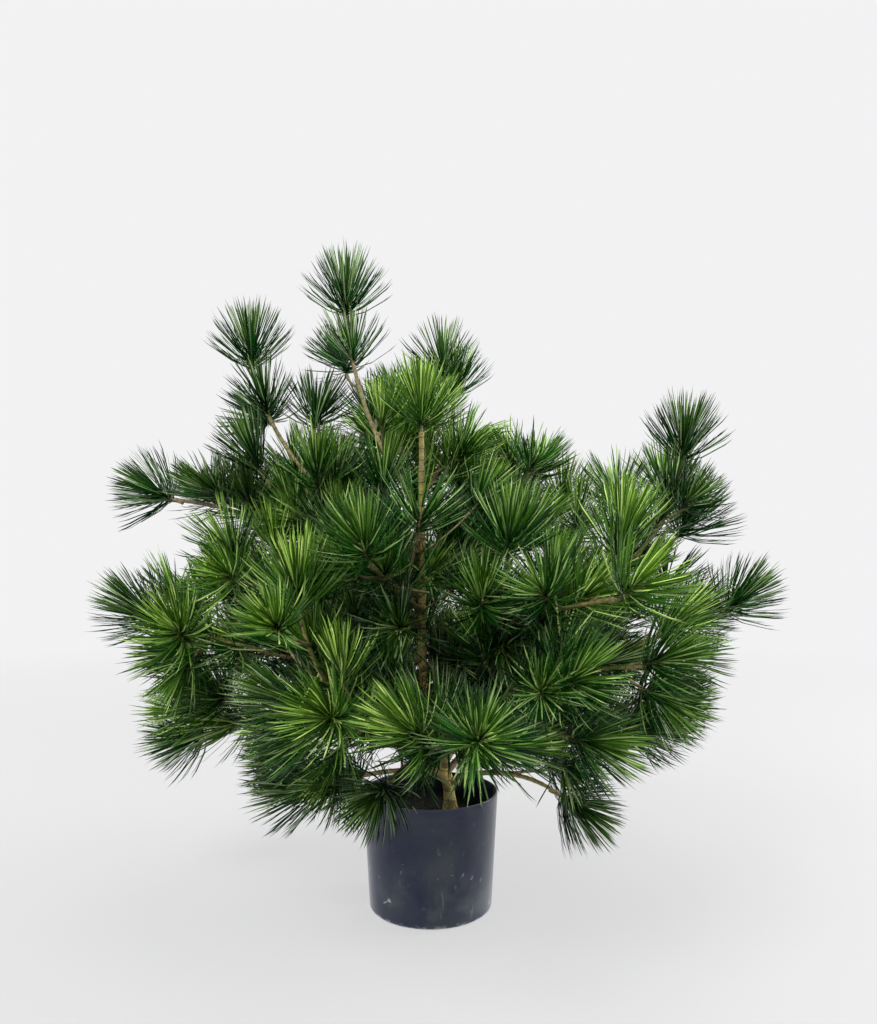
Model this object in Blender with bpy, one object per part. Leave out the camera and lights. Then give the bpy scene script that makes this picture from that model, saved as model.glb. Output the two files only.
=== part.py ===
# An artificial potted pine: a bushy little tree with one leaning stem, thirty boughs and tufts
# of long needles, standing in a plain nursery pot that is filled nearly to its rim. Where a
# bough's needles begin close to the stem, the bough is part of its mass of needles.
# Metres, +Z up. The origin is the centre of the pot's flat underside.
import math
import random

import bmesh
import bpy
import numpy as np

GAP = 0.0003  # clearance between pieces that touch

# Pot: a turned shell with a slight taper and a rounded bottom edge
POT_HEIGHT = 0.1294
POT_RIM_RADIUS = 0.075
POT_FOOT_RADIUS = 0.068
POT_WALL = 0.0018
POT_FLOOR = 0.0025
POT_EDGE = 0.005
POT_EDGE_STEPS = 3
POT_SIDES = 32
POT_SHARP = 30  # degrees between faces from which an edge stays sharp

# Fill: the dark set filling that holds the stem, a little higher round the stem
FILL_TOP = 0.108
FILL_FLAT_RADIUS = 0.042
FILL_DROP = 0.0025

# Stem: leaves the fill right of the centre, swings back over it and leans to the front
FOOT_X = 0.022
TIP_X = -0.009
TIP_Y = -0.080
TIP_Z = 0.524
SWING_HEIGHT = 0.42  # share of the height in which the stem swings back
LEAN_POWER = 1.25
TRUNK_FOOT_RADIUS = 0.0074
TRUNK_TIP_RADIUS = 0.0030
FLARE = 0.0045
FLARE_FALL = 0.011
TRUNK_SIDES = 8
BARK_SHARP = 50
FLARE_RINGS = (0.0, 0.004, 0.010, 0.020, 0.036)
TRUNK_RINGS = 11
TRUNK_SPANS = 14  # tapered pieces that stand for the stem where needles are kept clear of it

# Boughs: one tapering limb each, from the stem's middle line to where the needles begin
BOUGH_ROOT_RADIUS = 0.0042
BOUGH_TIP_RADIUS = 0.0024
ROOT_SHARE = 0.8  # thickest a bough may be at its root, as a share of the stem there
BOUGH_SIDES = 5
BOUGH_STEP = 0.040
LENGTH_STEPS = 40
STEEPEST_START = 55
FLATTEST_START = -10
SHORTEST_BOUGH = 0.055

# Twigs: three-sided, bending up from the stem of their mass into a tuft
TWIG_ROOT_RADIUS = 0.0023
TWIG_TIP_RADIUS = 0.0018
TWIG_SIDES = 3
TWIG_STEPS = 2
TWIG_SUNK = 0.012
STEM_STEP = 0.045
STEM_LEAD = 0.014
TIP_LIFT = 0.25
SWING_RANGE = (25, 85)
ROLL_RANGE = (-80, 80)
TWIG_RANGE = (0.025, 0.080)
LIFT_RANGE = (0.0, 0.9)
INNERMOST = 0.12  # share of a bough nearer the stem than any twig may start

# Tufts: a slim core whose every facet is drawn out into one stout needle
CORE_SIDES = 5
CORE_RINGS = ((0.0, 0.0034), (0.0075, 0.0064), (0.0155, 0.0066), (0.0235, 0.0048))
CORE_TIP = 0.027
CORE_RADIUS = 0.0070
NEEDLE = 0.059
NEEDLE_SPREAD = 0.08
WIDE_ANGLE = 56
NARROW_ANGLE = 12
ANGLE_POWER = 1.5
ANGLE_HEIGHT = 0.0255
NEEDLE_ROOT_RADIUS = 0.0048
CLEARANCE = 0.0005
NEARBY = 0.012  # allowance for thickness when the pieces near a needle are picked out
SHORTEST_SHARE = 0.45
SAMPLES = 16
LEADER_LEAD = 0.0023  # from the stem's tip to the core of its tuft
LEADER_PROBE = 0.03

# One row for each bough. azimuth: compass angle of its tip; root: height at which it leaves the
# stem; reach and height: where its tip lies; aim: slope of the tip in degrees; spacing: step
# between its side twigs; seeds: one for each side twig, from the tip back
BOUGHS = {
    "top_left": dict(azimuth=-168, root=0.440, reach=0.095, height=0.655,
        aim=84, spacing=0.052, seeds=(8822, 8297)),
    "upper_left": dict(azimuth=180, root=0.398, reach=0.200, height=0.600,
        aim=76, spacing=0.052, seeds=(3379, 7512)),
    "upper_back": dict(azimuth=65, root=0.464, reach=0.065, height=0.575,
        aim=75, spacing=0.034, seeds=(9863,)),
    "left_high": dict(azimuth=176, root=0.318, reach=0.295, height=0.455,
        aim=5, spacing=0.064, seeds=(5779, 9633, 13786)),
    "left_shoulder": dict(azimuth=-171, root=0.350, reach=0.185, height=0.480,
        aim=45, spacing=0.064, seeds=(9968, 15039)),
    "left_front": dict(azimuth=-153, root=0.279, reach=0.220, height=0.390,
        aim=45, spacing=0.052, seeds=(5403, 15824)),
    "left": dict(azimuth=-170, root=0.235, reach=0.290, height=0.320,
        aim=15, spacing=0.042, seeds=(10247, 3607, 2722)),
    "left_low": dict(azimuth=171, root=0.190, reach=0.265, height=0.180,
        aim=-20, spacing=0.064, seeds=(177, 5303)),
    "low_left": dict(azimuth=-170, root=0.146, reach=0.120, height=0.135,
        aim=-25, spacing=0.034, seeds=(5955, 57)),
    "low_front": dict(azimuth=-106, root=0.126, reach=0.145, height=0.175,
        aim=-25, spacing=0.064, seeds=(2288,)),
    "front_left_low": dict(azimuth=-107, root=0.172, reach=0.260, height=0.260,
        aim=10, spacing=0.042, seeds=(1273, 17)),
    "front_left": dict(azimuth=-119, root=0.207, reach=0.240, height=0.350,
        aim=75, spacing=0.064, seeds=(123, 545)),
    "front_up_left": dict(azimuth=-106, root=0.334, reach=0.200, height=0.395,
        aim=25, spacing=0.064, seeds=(8222, 4115)),
    "front_low": dict(azimuth=-83, root=0.158, reach=0.315, height=0.255,
        aim=10, spacing=0.064, seeds=(1817, 10469)),
    "front_right_low": dict(azimuth=-62, root=0.199, reach=0.250, height=0.285,
        aim=10, spacing=0.064, seeds=(7022,)),
    "front_right": dict(azimuth=-54, root=0.268, reach=0.285, height=0.365,
        aim=10, spacing=0.064, seeds=(14262, 5483, 11255)),
    "right": dict(azimuth=-34, root=0.217, reach=0.250, height=0.290,
        aim=5, spacing=0.052, seeds=(15021, 53)),
    "right_low": dict(azimuth=-17, root=0.181, reach=0.210, height=0.205,
        aim=5, spacing=0.064, seeds=(8166,)),
    "low_right": dict(azimuth=-16, root=0.137, reach=0.145, height=0.135,
        aim=-35, spacing=0.064, seeds=(6144,)),
    "right_back": dict(azimuth=3, root=0.246, reach=0.335, height=0.325,
        aim=20, spacing=0.064, seeds=(5112,)),
    "right_high": dict(azimuth=-2, root=0.304, reach=0.280, height=0.495,
        aim=84, spacing=0.042, seeds=(9041, 7121, 10254)),
    "upper_right": dict(azimuth=26, root=0.382, reach=0.135, height=0.480,
        aim=50, spacing=0.052, seeds=(1180, 13232, 11380)),
    "back_top": dict(azimuth=97, root=0.480, reach=0.100, height=0.555,
        aim=65, spacing=0.064, seeds=(5366, 2640)),
    "back_high_left": dict(azimuth=132, root=0.418, reach=0.200, height=0.470,
        aim=45, spacing=0.042, seeds=(1348, 3462, 11584)),
    "back_high_right": dict(azimuth=68, root=0.366, reach=0.215, height=0.440,
        aim=45, spacing=0.064, seeds=(7919, 7529, 11892)),
    "back_left": dict(azimuth=146, root=0.257, reach=0.300, height=0.350,
        aim=20, spacing=0.064, seeds=(10770, 1080, 9563)),
    "back": dict(azimuth=92, root=0.291, reach=0.290, height=0.345,
        aim=25, spacing=0.052, seeds=(675, 271, 1286)),
    "back_right": dict(azimuth=45, root=0.226, reach=0.300, height=0.300,
        aim=20, spacing=0.034, seeds=(936, 171)),
    "back_low": dict(azimuth=105, root=0.165, reach=0.240, height=0.200,
        aim=0, spacing=0.064, seeds=(7610, 15470)),
    "back_low_right": dict(azimuth=48, root=0.150, reach=0.235, height=0.215,
        aim=5, spacing=0.052, seeds=(4931, 4155)),
}

# Colours and roughness
POT_COLOUR = (0.018, 0.021, 0.028)
POT_ROUGHNESS = 0.42
FILL_COLOUR = (0.012, 0.014, 0.011)
FILL_ROUGHNESS = 0.95
BARK_COLOUR = (0.20, 0.11, 0.045)
BARK_ROUGHNESS = 0.6
NEEDLE_COLOURS = ((0.030, 0.095, 0.028), (0.050, 0.150, 0.030), (0.022, 0.075, 0.034))
NEEDLE_ROUGHNESS = 0.38

UP = np.array([0.0, 0.0, 1.0])
NEARLY_UP = np.array([0.013, 0.007, 1.0])  # no limb or tuft is aimed exactly this way


def unit(v):
    return v / np.linalg.norm(v)


def material(name, colour, roughness):
    """Principled material of one plain colour."""
    mat = bpy.data.materials.new(name)
    mat.use_nodes = True
    shader = mat.node_tree.nodes["Principled BSDF"]
    shader.inputs["Base Color"].default_value = (*colour, 1.0)
    shader.inputs["Roughness"].default_value = roughness
    shader.inputs["Metallic"].default_value = 0.0
    return mat


def add_object(name, verts, faces, mat=None):
    """One mesh object from its points and faces, with every face turned outward."""
    mesh = bpy.data.meshes.new(name)
    mesh.from_pydata([tuple(v) for v in verts], [], faces)
    bm = bmesh.new()
    bm.from_mesh(mesh)
    bmesh.ops.recalc_face_normals(bm, faces=bm.faces)
    bmesh.ops.triangulate(bm, faces=bm.faces)
    bm.to_mesh(mesh)
    bm.free()
    if mat:
        mesh.materials.append(mat)
    obj = bpy.data.objects.new(name, mesh)
    bpy.context.scene.collection.objects.link(obj)
    return obj


def loft(rings):
    """Points and faces of a closed skin over rings of equal count, flat at both ends."""
    sides = len(rings[0])
    verts = [p for ring in rings for p in ring]
    faces = []
    for r in range(len(rings) - 1):
        low, high = r * sides, (r + 1) * sides
        for k in range(sides):
            n = (k + 1) % sides
            faces.append((low + k, low + n, high + n, high + k))
    faces.append(tuple(range(sides - 1, -1, -1)))
    faces.append(tuple(range(len(verts) - sides, len(verts))))
    return verts, faces


def tube(points, radii, sides, ways):
    """A tube along points, each ring square to the way given there."""
    rings = []
    for i, p in enumerate(points):
        along = ways[i]
        side = unit(np.cross(along, NEARLY_UP))
        over = np.cross(side, along)
        turn = 2 * math.pi * np.arange(sides) / sides
        rings.append([p + radii[i] * (math.cos(a) * side + math.sin(a) * over) for a in turn])
    return loft(rings)


def turned(profile, sides):
    """A body of revolution; the profile starts and ends on the axis."""
    verts = [(0.0, 0.0, profile[0][1])]
    for radius, z in profile[1:-1]:
        for a in 2 * math.pi * np.arange(sides) / sides:
            verts.append((radius * math.cos(a), radius * math.sin(a), z))
    verts.append((0.0, 0.0, profile[-1][1]))
    last = len(verts) - 1
    top = last - sides
    faces = []
    for k in range(sides):
        n = (k + 1) % sides
        faces.append((0, 1 + n, 1 + k))
        for r in range(len(profile) - 3):
            low, high = 1 + r * sides, 1 + (r + 1) * sides
            faces.append((low + k, low + n, high + n, high + k))
        faces.append((top + k, top + n, last))
    return verts, faces


def join_solids(base, others, operation):
    """Boolean of one object with a collection of others, applied; the others are removed."""
    group = bpy.data.collections.new("operands")
    for obj in others:
        group.objects.link(obj)
    mod = base.modifiers.new("join", "BOOLEAN")
    mod.operation = operation
    mod.solver = "EXACT"
    mod.operand_type = "COLLECTION"
    mod.collection = group
    graph = bpy.context.evaluated_depsgraph_get()
    mesh = bpy.data.meshes.new_from_object(base.evaluated_get(graph))
    base.modifiers.remove(mod)
    base.data = mesh
    for obj in others:
        bpy.data.objects.remove(obj)
    bpy.data.collections.remove(group)


# Pot and fill


def pot_radius(z):
    return POT_FOOT_RADIUS + (POT_RIM_RADIUS - POT_FOOT_RADIUS) * z / POT_HEIGHT


def build_pot():
    """Pot wall and floor in one turned profile, walked from the underside to the inside."""
    foot = pot_radius(POT_EDGE)
    profile = [(0.0, 0.0)]
    for k in range(POT_EDGE_STEPS + 1):
        a = 0.5 * math.pi * k / POT_EDGE_STEPS
        radius = foot - POT_EDGE + POT_EDGE * math.sin(a)
        profile.append((radius, POT_EDGE * (1 - math.cos(a))))
    profile.append((POT_RIM_RADIUS, POT_HEIGHT))
    profile.append((POT_RIM_RADIUS - POT_WALL, POT_HEIGHT))
    profile.append((pot_radius(POT_EDGE) - POT_WALL, POT_EDGE))
    profile.append((pot_radius(POT_EDGE) - POT_EDGE, POT_FLOOR))
    profile.append((0.0, POT_FLOOR))
    mat = material("pot plastic", POT_COLOUR, POT_ROUGHNESS)
    pot = add_object("pot", *turned(profile, POT_SIDES), mat)
    pot.data.shade_smooth()
    pot.data.set_sharp_from_angle(angle=math.radians(POT_SHARP))


def build_fill():
    """Filling seated inside the pot, clear of wall and floor."""
    inset = POT_WALL + 2 * GAP
    profile = [
        (0.0, POT_FLOOR + GAP),
        (pot_radius(POT_EDGE) - POT_EDGE - GAP, POT_FLOOR + GAP),
        (pot_radius(POT_EDGE) - inset, POT_EDGE + 2 * GAP),
        (pot_radius(FILL_TOP) - inset, FILL_TOP - FILL_DROP),
        (FILL_FLAT_RADIUS, FILL_TOP),
        (0.0, FILL_TOP),
    ]
    add_object("fill", *turned(profile, POT_SIDES), material("fill", FILL_COLOUR, FILL_ROUGHNESS))


# Stem


def trunk_point(z):
    """Middle line of the stem: a smooth swing back in x, a growing lean in y."""
    t = (z - FILL_TOP) / (TIP_Z - FILL_TOP)
    b = min(1.0, t / SWING_HEIGHT)
    b = b * b * (3 - 2 * b)
    return np.array([FOOT_X + (TIP_X - FOOT_X) * b, TIP_Y * max(t, 0.0) ** LEAN_POWER, z])


def trunk_radius(z):
    rise = z - FILL_TOP
    taper = TRUNK_FOOT_RADIUS + (TRUNK_TIP_RADIUS - TRUNK_FOOT_RADIUS) * rise / (TIP_Z - FILL_TOP)
    return taper + FLARE * math.exp(-rise / FLARE_FALL)


def trunk_skin(extra):
    """Level rings up the stem, each widened by extra."""
    heights = [FILL_TOP + GAP + h for h in FLARE_RINGS]
    heights += list(np.linspace(heights[-1], TIP_Z, TRUNK_RINGS)[1:])
    turn = 2 * math.pi * np.arange(TRUNK_SIDES) / TRUNK_SIDES
    around = np.stack([np.cos(turn), np.sin(turn), 0 * turn], axis=1)
    return loft([trunk_point(z) + (trunk_radius(z) + extra) * around for z in heights])


def clear_of_trunk(obj):
    """Cuts a bough's foot to the stem's own surface, the usual gap away."""
    cutter = add_object("cutter", *trunk_skin(GAP))
    join_solids(obj, [cutter], "DIFFERENCE")


# Layout of boughs, twigs and tufts


def polar(pitch, heading):
    flat = math.cos(pitch)
    return np.array([flat * math.cos(heading), flat * math.sin(heading), math.sin(pitch)])


class Bough:
    """Curve of one bough from the stem's middle line to its tip, one smooth bend."""

    def __init__(self, row):
        azimuth = math.radians(row["azimuth"])
        self.root = trunk_point(row["root"])
        self.width = min(BOUGH_ROOT_RADIUS, ROOT_SHARE * trunk_radius(row["root"]))
        flat = row["reach"]
        self.tip = np.array([flat * math.cos(azimuth), flat * math.sin(azimuth), row["height"]])
        chord = self.tip - self.root
        size = np.linalg.norm(chord)
        heading = math.atan2(chord[1], chord[0])
        aim = math.radians(row["aim"])
        start = 2 * math.asin(chord[2] / size) - aim
        start = max(math.radians(FLATTEST_START), min(math.radians(STEEPEST_START), start))
        self.leave = polar(start, heading) * size
        self.arrive = polar(aim, heading) * size
        points = [self.at(s) for s in np.linspace(0, 1, LENGTH_STEPS + 1)]
        self.length = float(sum(np.linalg.norm(b - a) for a, b in zip(points, points[1:])))

    def at(self, s):
        """Point at share s of the way, by a cubic through both ends and their slopes."""
        return ((2 * s**3 - 3 * s**2 + 1) * self.root + (s**3 - 2 * s**2 + s) * self.leave
                + (3 * s**2 - 2 * s**3) * self.tip + (s**3 - s**2) * self.arrive)

    def along(self, s):
        return unit((6 * s * s - 6 * s) * (self.root - self.tip)
                    + (3 * s * s - 4 * s + 1) * self.leave + (3 * s * s - 2 * s) * self.arrive)

    def radius(self, s):
        return self.width + (BOUGH_TIP_RADIUS - self.width) * s


def between(pair, share):
    return pair[0] + (pair[1] - pair[0]) * share


def side_twig(bough, row, k):
    """Side twig k: where it starts, its bend, where its needles begin and their direction."""
    draw = random.Random(row["seeds"][k])
    share = [draw.random() for _ in range(6)]
    back = (k + 0.5 + share[0]) * row["spacing"]
    s = max(INNERMOST, 1 - back / bough.length)
    start = bough.at(s)
    along = bough.along(s)
    hand = -1.0 if share[1] < 0.5 else 1.0
    swing = math.radians(between(SWING_RANGE, share[2]))
    roll = math.radians(between(ROLL_RANGE, share[3]))
    size = between(TWIG_RANGE, share[4])
    side = unit(np.cross(along, UP))
    over = np.cross(side, along)
    outward = side * hand * math.cos(roll) + over * math.sin(roll)
    way = along * math.cos(swing) + outward * math.sin(swing)
    axis = unit(way + between(LIFT_RANGE, share[5]) * UP)
    bend = start + way * size * 0.5
    root = bend + axis * size * 0.5
    return {"share": s, "start": start, "bend": bend, "root": root, "axis": axis}


def plan():
    """Every bough with the stretch of it that carries needles, its twigs and its tufts."""
    groups = {}
    for name, row in BOUGHS.items():
        bough = Bough(row)
        twigs = [side_twig(bough, row, k) for k in range(len(row["seeds"]))]
        first = min([t["share"] for t in twigs], default=1.0) - STEM_LEAD / bough.length
        if first * bough.length < SHORTEST_BOUGH:
            first = 0.0
        end = {"root": bough.tip, "axis": unit(bough.along(1.0) + TIP_LIFT * UP)}
        groups[name] = {"bough": bough, "first": first, "twigs": twigs, "tufts": [end] + twigs}
    return groups


def leader():
    """The tuft that ends the stem, aimed along it."""
    tip = trunk_point(TIP_Z)
    axis = unit(tip - trunk_point(TIP_Z - LEADER_PROBE))
    return {"root": tip + LEADER_LEAD * axis, "axis": axis}


# Room that limbs and needles leave each other: tapered capsules


class Room:
    """Capsules from a to b with a radius at each end, owned by a tuft or by none."""

    def __init__(self):
        self.a, self.b, self.ra, self.rb, self.owner = [], [], [], [], []

    def add(self, a, b, ra, rb, owner=-1):
        self.a.append(a)
        self.b.append(b)
        self.ra.append(ra)
        self.rb.append(rb)
        self.owner.append(owner)

    def freeze(self):
        self.table = [np.array(v) for v in (self.a, self.b, self.ra, self.rb, self.owner)]

    def share_clear(self, start, way, size, owner):
        """Share of a needle that can grow before it would come too close to anything."""
        a, b, ra, rb, who = self.table
        middle = start + way * size * 0.5
        near = np.linalg.norm((a + b) / 2 - middle, axis=1)
        near = near < size * 0.5 + np.linalg.norm(b - a, axis=1) * 0.5 + NEARBY
        near &= who != owner
        if not near.any():
            return 1.0
        a, b, ra, rb = a[near], b[near], ra[near], rb[near]
        f = np.arange(1, SAMPLES + 1) / SAMPLES
        points = start + way * size * f[:, None]
        run = b - a
        t = ((points[:, None] - a) * run).sum(-1) / (run * run).sum(-1)
        t = np.clip(t, 0, 1)
        reach = np.linalg.norm(points[:, None] - (a + t[..., None] * run), axis=-1)
        own = NEEDLE_ROOT_RADIUS * (1 - f)
        bad = (reach < own[:, None] + ra + (rb - ra) * t + CLEARANCE).any(axis=1)
        flat = np.hypot(points[:, 0], points[:, 1])
        bad |= (flat < POT_RIM_RADIUS + own + CLEARANCE) & (points[:, 2] < POT_HEIGHT + own)
        if not bad.any():
            return 1.0
        return max(0.0, (np.argmax(bad) - 0.5) / SAMPLES)


def path_of_twig(twig):
    """The twig's bend as a quadratic curve, then its straight end inside the tuft."""
    start, bend, root = twig["start"], twig["bend"], twig["root"]
    points = []
    ways = []
    for t in np.linspace(0, 1, TWIG_STEPS + 1):
        points.append((1 - t) ** 2 * start + 2 * t * (1 - t) * bend + t * t * root)
        ways.append(unit((1 - t) * (bend - start) + t * (root - bend)))
    points.append(root + TWIG_SUNK * twig["axis"])
    ways.append(twig["axis"])
    return points, ways


def path_of_limb(bough, first, last, step):
    count = max(2, math.ceil((last - first) * bough.length / step) + 1)
    shares = np.linspace(first, last, count)
    points = [bough.at(s) for s in shares]
    radii = [bough.radius(s) for s in shares]
    ways = [bough.along(s) for s in shares]
    return points, radii, ways


def tuft_core(tuft):
    """Rings of the core, turned half a step each, and the frame of the tuft."""
    axis = tuft["axis"]
    side = unit(np.cross(axis, NEARLY_UP))
    over = np.cross(side, axis)
    verts = []
    for r, (height, radius) in enumerate(CORE_RINGS):
        for k in range(CORE_SIDES):
            a = 2 * math.pi * (k + 0.5 * r) / CORE_SIDES
            around = math.cos(a) * side + math.sin(a) * over
            verts.append(tuft["root"] + height * axis + radius * around)
    verts.append(tuft["root"] + CORE_TIP * axis)
    faces = []
    for r in range(len(CORE_RINGS) - 1):
        low, high = r * CORE_SIDES, (r + 1) * CORE_SIDES
        for k in range(CORE_SIDES):
            n = (k + 1) % CORE_SIDES
            faces.append((low + k, low + n, high + k))
            faces.append((low + n, high + n, high + k))
    top = len(verts) - 1 - CORE_SIDES
    for k in range(CORE_SIDES):
        faces.append((top + k, top + (k + 1) % CORE_SIDES, len(verts) - 1))
    return verts, faces


def tuft_solid(tuft, room, owner, draw):
    """Core with its facets drawn out into needles; the room shortens or skips a needle."""
    verts, facets = tuft_core(tuft)
    faces = [tuple(range(CORE_SIDES - 1, -1, -1))]
    for facet in facets:
        centre = sum(verts[i] for i in facet) / 3
        height = float(np.dot(centre - tuft["root"], tuft["axis"]))
        outward = unit(centre - tuft["root"] - height * tuft["axis"])
        share = min(1.0, height / ANGLE_HEIGHT) ** ANGLE_POWER
        angle = math.radians(between((WIDE_ANGLE, NARROW_ANGLE), share))
        way = math.cos(angle) * tuft["axis"] + math.sin(angle) * outward
        size = NEEDLE * (1 + NEEDLE_SPREAD * (2 * draw.random() - 1))
        free = room.share_clear(centre, way, size, owner)
        if free < SHORTEST_SHARE:
            faces.append(facet)
            continue
        apex = centre + way * size * free
        room.add(centre, apex, NEEDLE_ROOT_RADIUS, 0.0, owner)
        verts.append(apex)
        tip = len(verts) - 1
        for i in range(3):
            faces.append((facet[i], facet[(i + 1) % 3], tip))
    return verts, faces


def fill_room(groups, end):
    """Enters limbs, twigs and cores, which every needle keeps clear of."""
    room = Room()
    heights = np.linspace(FILL_TOP, TIP_Z, TRUNK_SPANS + 1)
    for low, high in zip(heights, heights[1:]):
        room.add(trunk_point(low), trunk_point(high), trunk_radius(low), trunk_radius(high))
    owner = 0
    for group in groups.values():
        bough = group["bough"]
        points, radii = path_of_limb(bough, 0.0, 1.0, BOUGH_STEP)[:2]
        for i in range(len(points) - 1):
            last = owner if i == len(points) - 2 else -1
            room.add(points[i], points[i + 1], radii[i], radii[i + 1], last)
        for k, tuft in enumerate(group["tufts"]):
            if k:
                path = path_of_twig(tuft)[0][:-1]
                for i in range(len(path) - 1):
                    last = owner if i == len(path) - 2 else -1
                    room.add(path[i], path[i + 1], TWIG_ROOT_RADIUS, TWIG_TIP_RADIUS, last)
            room.add(tuft["root"], tuft["root"] + CORE_TIP * tuft["axis"], CORE_RADIUS,
                     CORE_RADIUS, owner)
            tuft["owner"] = owner
            owner += 1
    end["owner"] = owner
    room.add(end["root"], end["root"] + CORE_TIP * end["axis"], CORE_RADIUS, CORE_RADIUS, owner)
    return room


# Building


def build_trunk(bark):
    trunk = add_object("trunk", *trunk_skin(0.0), bark)
    trunk.data.shade_smooth()
    trunk.data.set_sharp_from_angle(angle=math.radians(BARK_SHARP))


def build_bough(name, group, bark):
    bough = group["bough"]
    last = group["first"] - GAP / bough.length
    points, radii, ways = path_of_limb(bough, 0.0, last, BOUGH_STEP)
    obj = add_object("bough_" + name, *tube(points, radii, BOUGH_SIDES, ways), bark)
    clear_of_trunk(obj)
    obj.data.shade_smooth()
    obj.data.set_sharp_from_angle(angle=math.radians(BARK_SHARP))


def build_mass(name, group, room, mat):
    """Stem, side twigs and tufts of one mass, fused into one body."""
    bough = group["bough"]
    points, radii, ways = path_of_limb(bough, group["first"], 1.0, STEM_STEP)
    axis = group["tufts"][0]["axis"]
    points.append(bough.tip + TWIG_SUNK * axis)
    radii.append(BOUGH_TIP_RADIUS)
    ways.append(axis)
    stem = add_object("needles_" + name, *tube(points, radii, TWIG_SIDES, ways), mat)
    others = []
    for twig in group["twigs"]:
        path, ways = path_of_twig(twig)
        widths = np.linspace(TWIG_ROOT_RADIUS, TWIG_TIP_RADIUS, len(path))
        others.append(add_object("twig", *tube(path, widths, TWIG_SIDES, ways)))
    for tuft in group["tufts"]:
        draw = random.Random(tuft["owner"])
        room.freeze()
        others.append(add_object("tuft", *tuft_solid(tuft, room, tuft["owner"], draw)))
    join_solids(stem, others, "UNION")
    if group["first"] == 0.0:
        clear_of_trunk(stem)


def build_leader(tuft, room, mat):
    """A short stem on the stem's tip, sunk into the topmost tuft of the middle."""
    tip = trunk_point(TIP_Z)
    points = [tip + GAP * UP, tuft["root"] + TWIG_SUNK * tuft["axis"]]
    widths = [BOUGH_TIP_RADIUS, TWIG_TIP_RADIUS]
    skin = tube(points, widths, TWIG_SIDES, [UP, tuft["axis"]])
    obj = add_object("needles_leader", *skin, mat)
    room.freeze()
    draw = random.Random(tuft["owner"])
    join_solids(obj, [add_object("tuft", *tuft_solid(tuft, room, tuft["owner"], draw))], "UNION")


def main():
    for obj in list(bpy.data.objects):
        bpy.data.objects.remove(obj)
    bark = material("moulded bark", BARK_COLOUR, BARK_ROUGHNESS)
    greens = []
    for k, colour in enumerate(NEEDLE_COLOURS):
        greens.append(material(f"needle green {k + 1}", colour, NEEDLE_ROUGHNESS))
    build_pot()
    build_fill()
    build_trunk(bark)
    groups = plan()
    end = leader()
    room = fill_room(groups, end)
    for k, (name, group) in enumerate(groups.items()):
        if group["first"] > 0.0:
            build_bough(name, group, bark)
        build_mass(name, group, room, greens[k % len(greens)])
    build_leader(end, room, greens[0])


main()
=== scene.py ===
import math
import random

import bpy
import numpy as np
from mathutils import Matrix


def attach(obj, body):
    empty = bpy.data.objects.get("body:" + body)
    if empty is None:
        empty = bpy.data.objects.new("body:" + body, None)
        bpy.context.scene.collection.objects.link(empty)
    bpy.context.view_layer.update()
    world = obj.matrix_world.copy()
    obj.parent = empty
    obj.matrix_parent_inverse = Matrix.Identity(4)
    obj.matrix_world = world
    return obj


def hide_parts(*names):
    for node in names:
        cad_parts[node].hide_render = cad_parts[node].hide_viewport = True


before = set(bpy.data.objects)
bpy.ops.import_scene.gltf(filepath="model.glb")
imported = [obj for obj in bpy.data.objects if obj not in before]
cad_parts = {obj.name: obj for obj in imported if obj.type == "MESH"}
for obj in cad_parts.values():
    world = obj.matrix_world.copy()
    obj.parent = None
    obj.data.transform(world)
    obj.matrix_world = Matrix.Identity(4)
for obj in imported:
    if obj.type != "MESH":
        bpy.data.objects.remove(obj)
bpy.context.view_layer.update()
print("frame:", len(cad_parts), "nodes")

camera = {"at": (0.0088, -1.062, 0.441), "lens": 33.22, "sensor": 36.0}

up = np.array([0.0, 0.0, 1.0])
nearlyUp = np.array([0.013, 0.007, 1.0])  # no limb or tuft is aimed exactly this way
goldenAngle = math.pi * (3 - math.sqrt(5))


def unit(v):
    return v / np.linalg.norm(v, axis=-1, keepdims=True)


def between(pair, share):
    return pair[0] + (pair[1] - pair[0]) * share


def polar(pitch, heading):
    # the direction that rises by the pitch over the heading
    flat = math.cos(pitch)
    return np.array([flat * math.cos(heading), flat * math.sin(heading), math.sin(pitch)])


def turns(sides):
    return 2 * math.pi * np.arange(sides) / sides


def around(out, z, sides):
    # a ring for each distance from the axis: x = out cos(turn), y = out sin(turn)
    turn = turns(sides)
    return np.stack(np.broadcast_arrays(out * np.cos(turn), out * np.sin(turn), z), axis=-1)


def gathered(rows, *keys):
    return [np.array([row[key] for row in rows]) for key in keys]


def summed(steps):
    # running totals from nought, along the last axis
    return np.concatenate([np.zeros_like(steps[..., :1]), np.cumsum(steps, axis=-1)], axis=-1)


# Meshes from whole arrays


def addObject(name, data):
    made = bpy.data.objects.new(name, data)
    bpy.context.scene.collection.objects.link(made)
    return made


def addMesh(name, mat, verts, quads, tris, along=None, core=None, smooth=True):
    # one mesh object at the origin; along and core are uv maps with one pair for each point
    corners = np.concatenate([quads.ravel(), tris.ravel()]).astype(np.int32)
    starts = np.concatenate([4 * np.arange(len(quads)), 4 * len(quads) + 3 * np.arange(len(tris))])
    mesh = bpy.data.meshes.new(name)
    mesh.vertices.add(len(verts))
    mesh.vertices.foreach_set("co", verts.astype(np.float32).ravel())
    mesh.loops.add(len(corners))
    mesh.loops.foreach_set("vertex_index", corners)
    mesh.polygons.add(len(starts))
    mesh.polygons.foreach_set("loop_start", starts.astype(np.int32))
    mesh.update(calc_edges=True)
    for label, pairs in (("along", along), ("core", core)):
        if pairs is not None:
            layer = mesh.uv_layers.new(name=label)
            layer.data.foreach_set("uv", pairs[corners].astype(np.float32).ravel())
    mesh.polygons.foreach_set("use_smooth", np.full(len(starts), smooth))
    mesh.materials.append(mat)
    mesh.validate()
    return addObject(name, mesh)


def addPiece(*form, **more):
    piece = addMesh(*form, **more)
    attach(piece, "root")
    return piece


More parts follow.
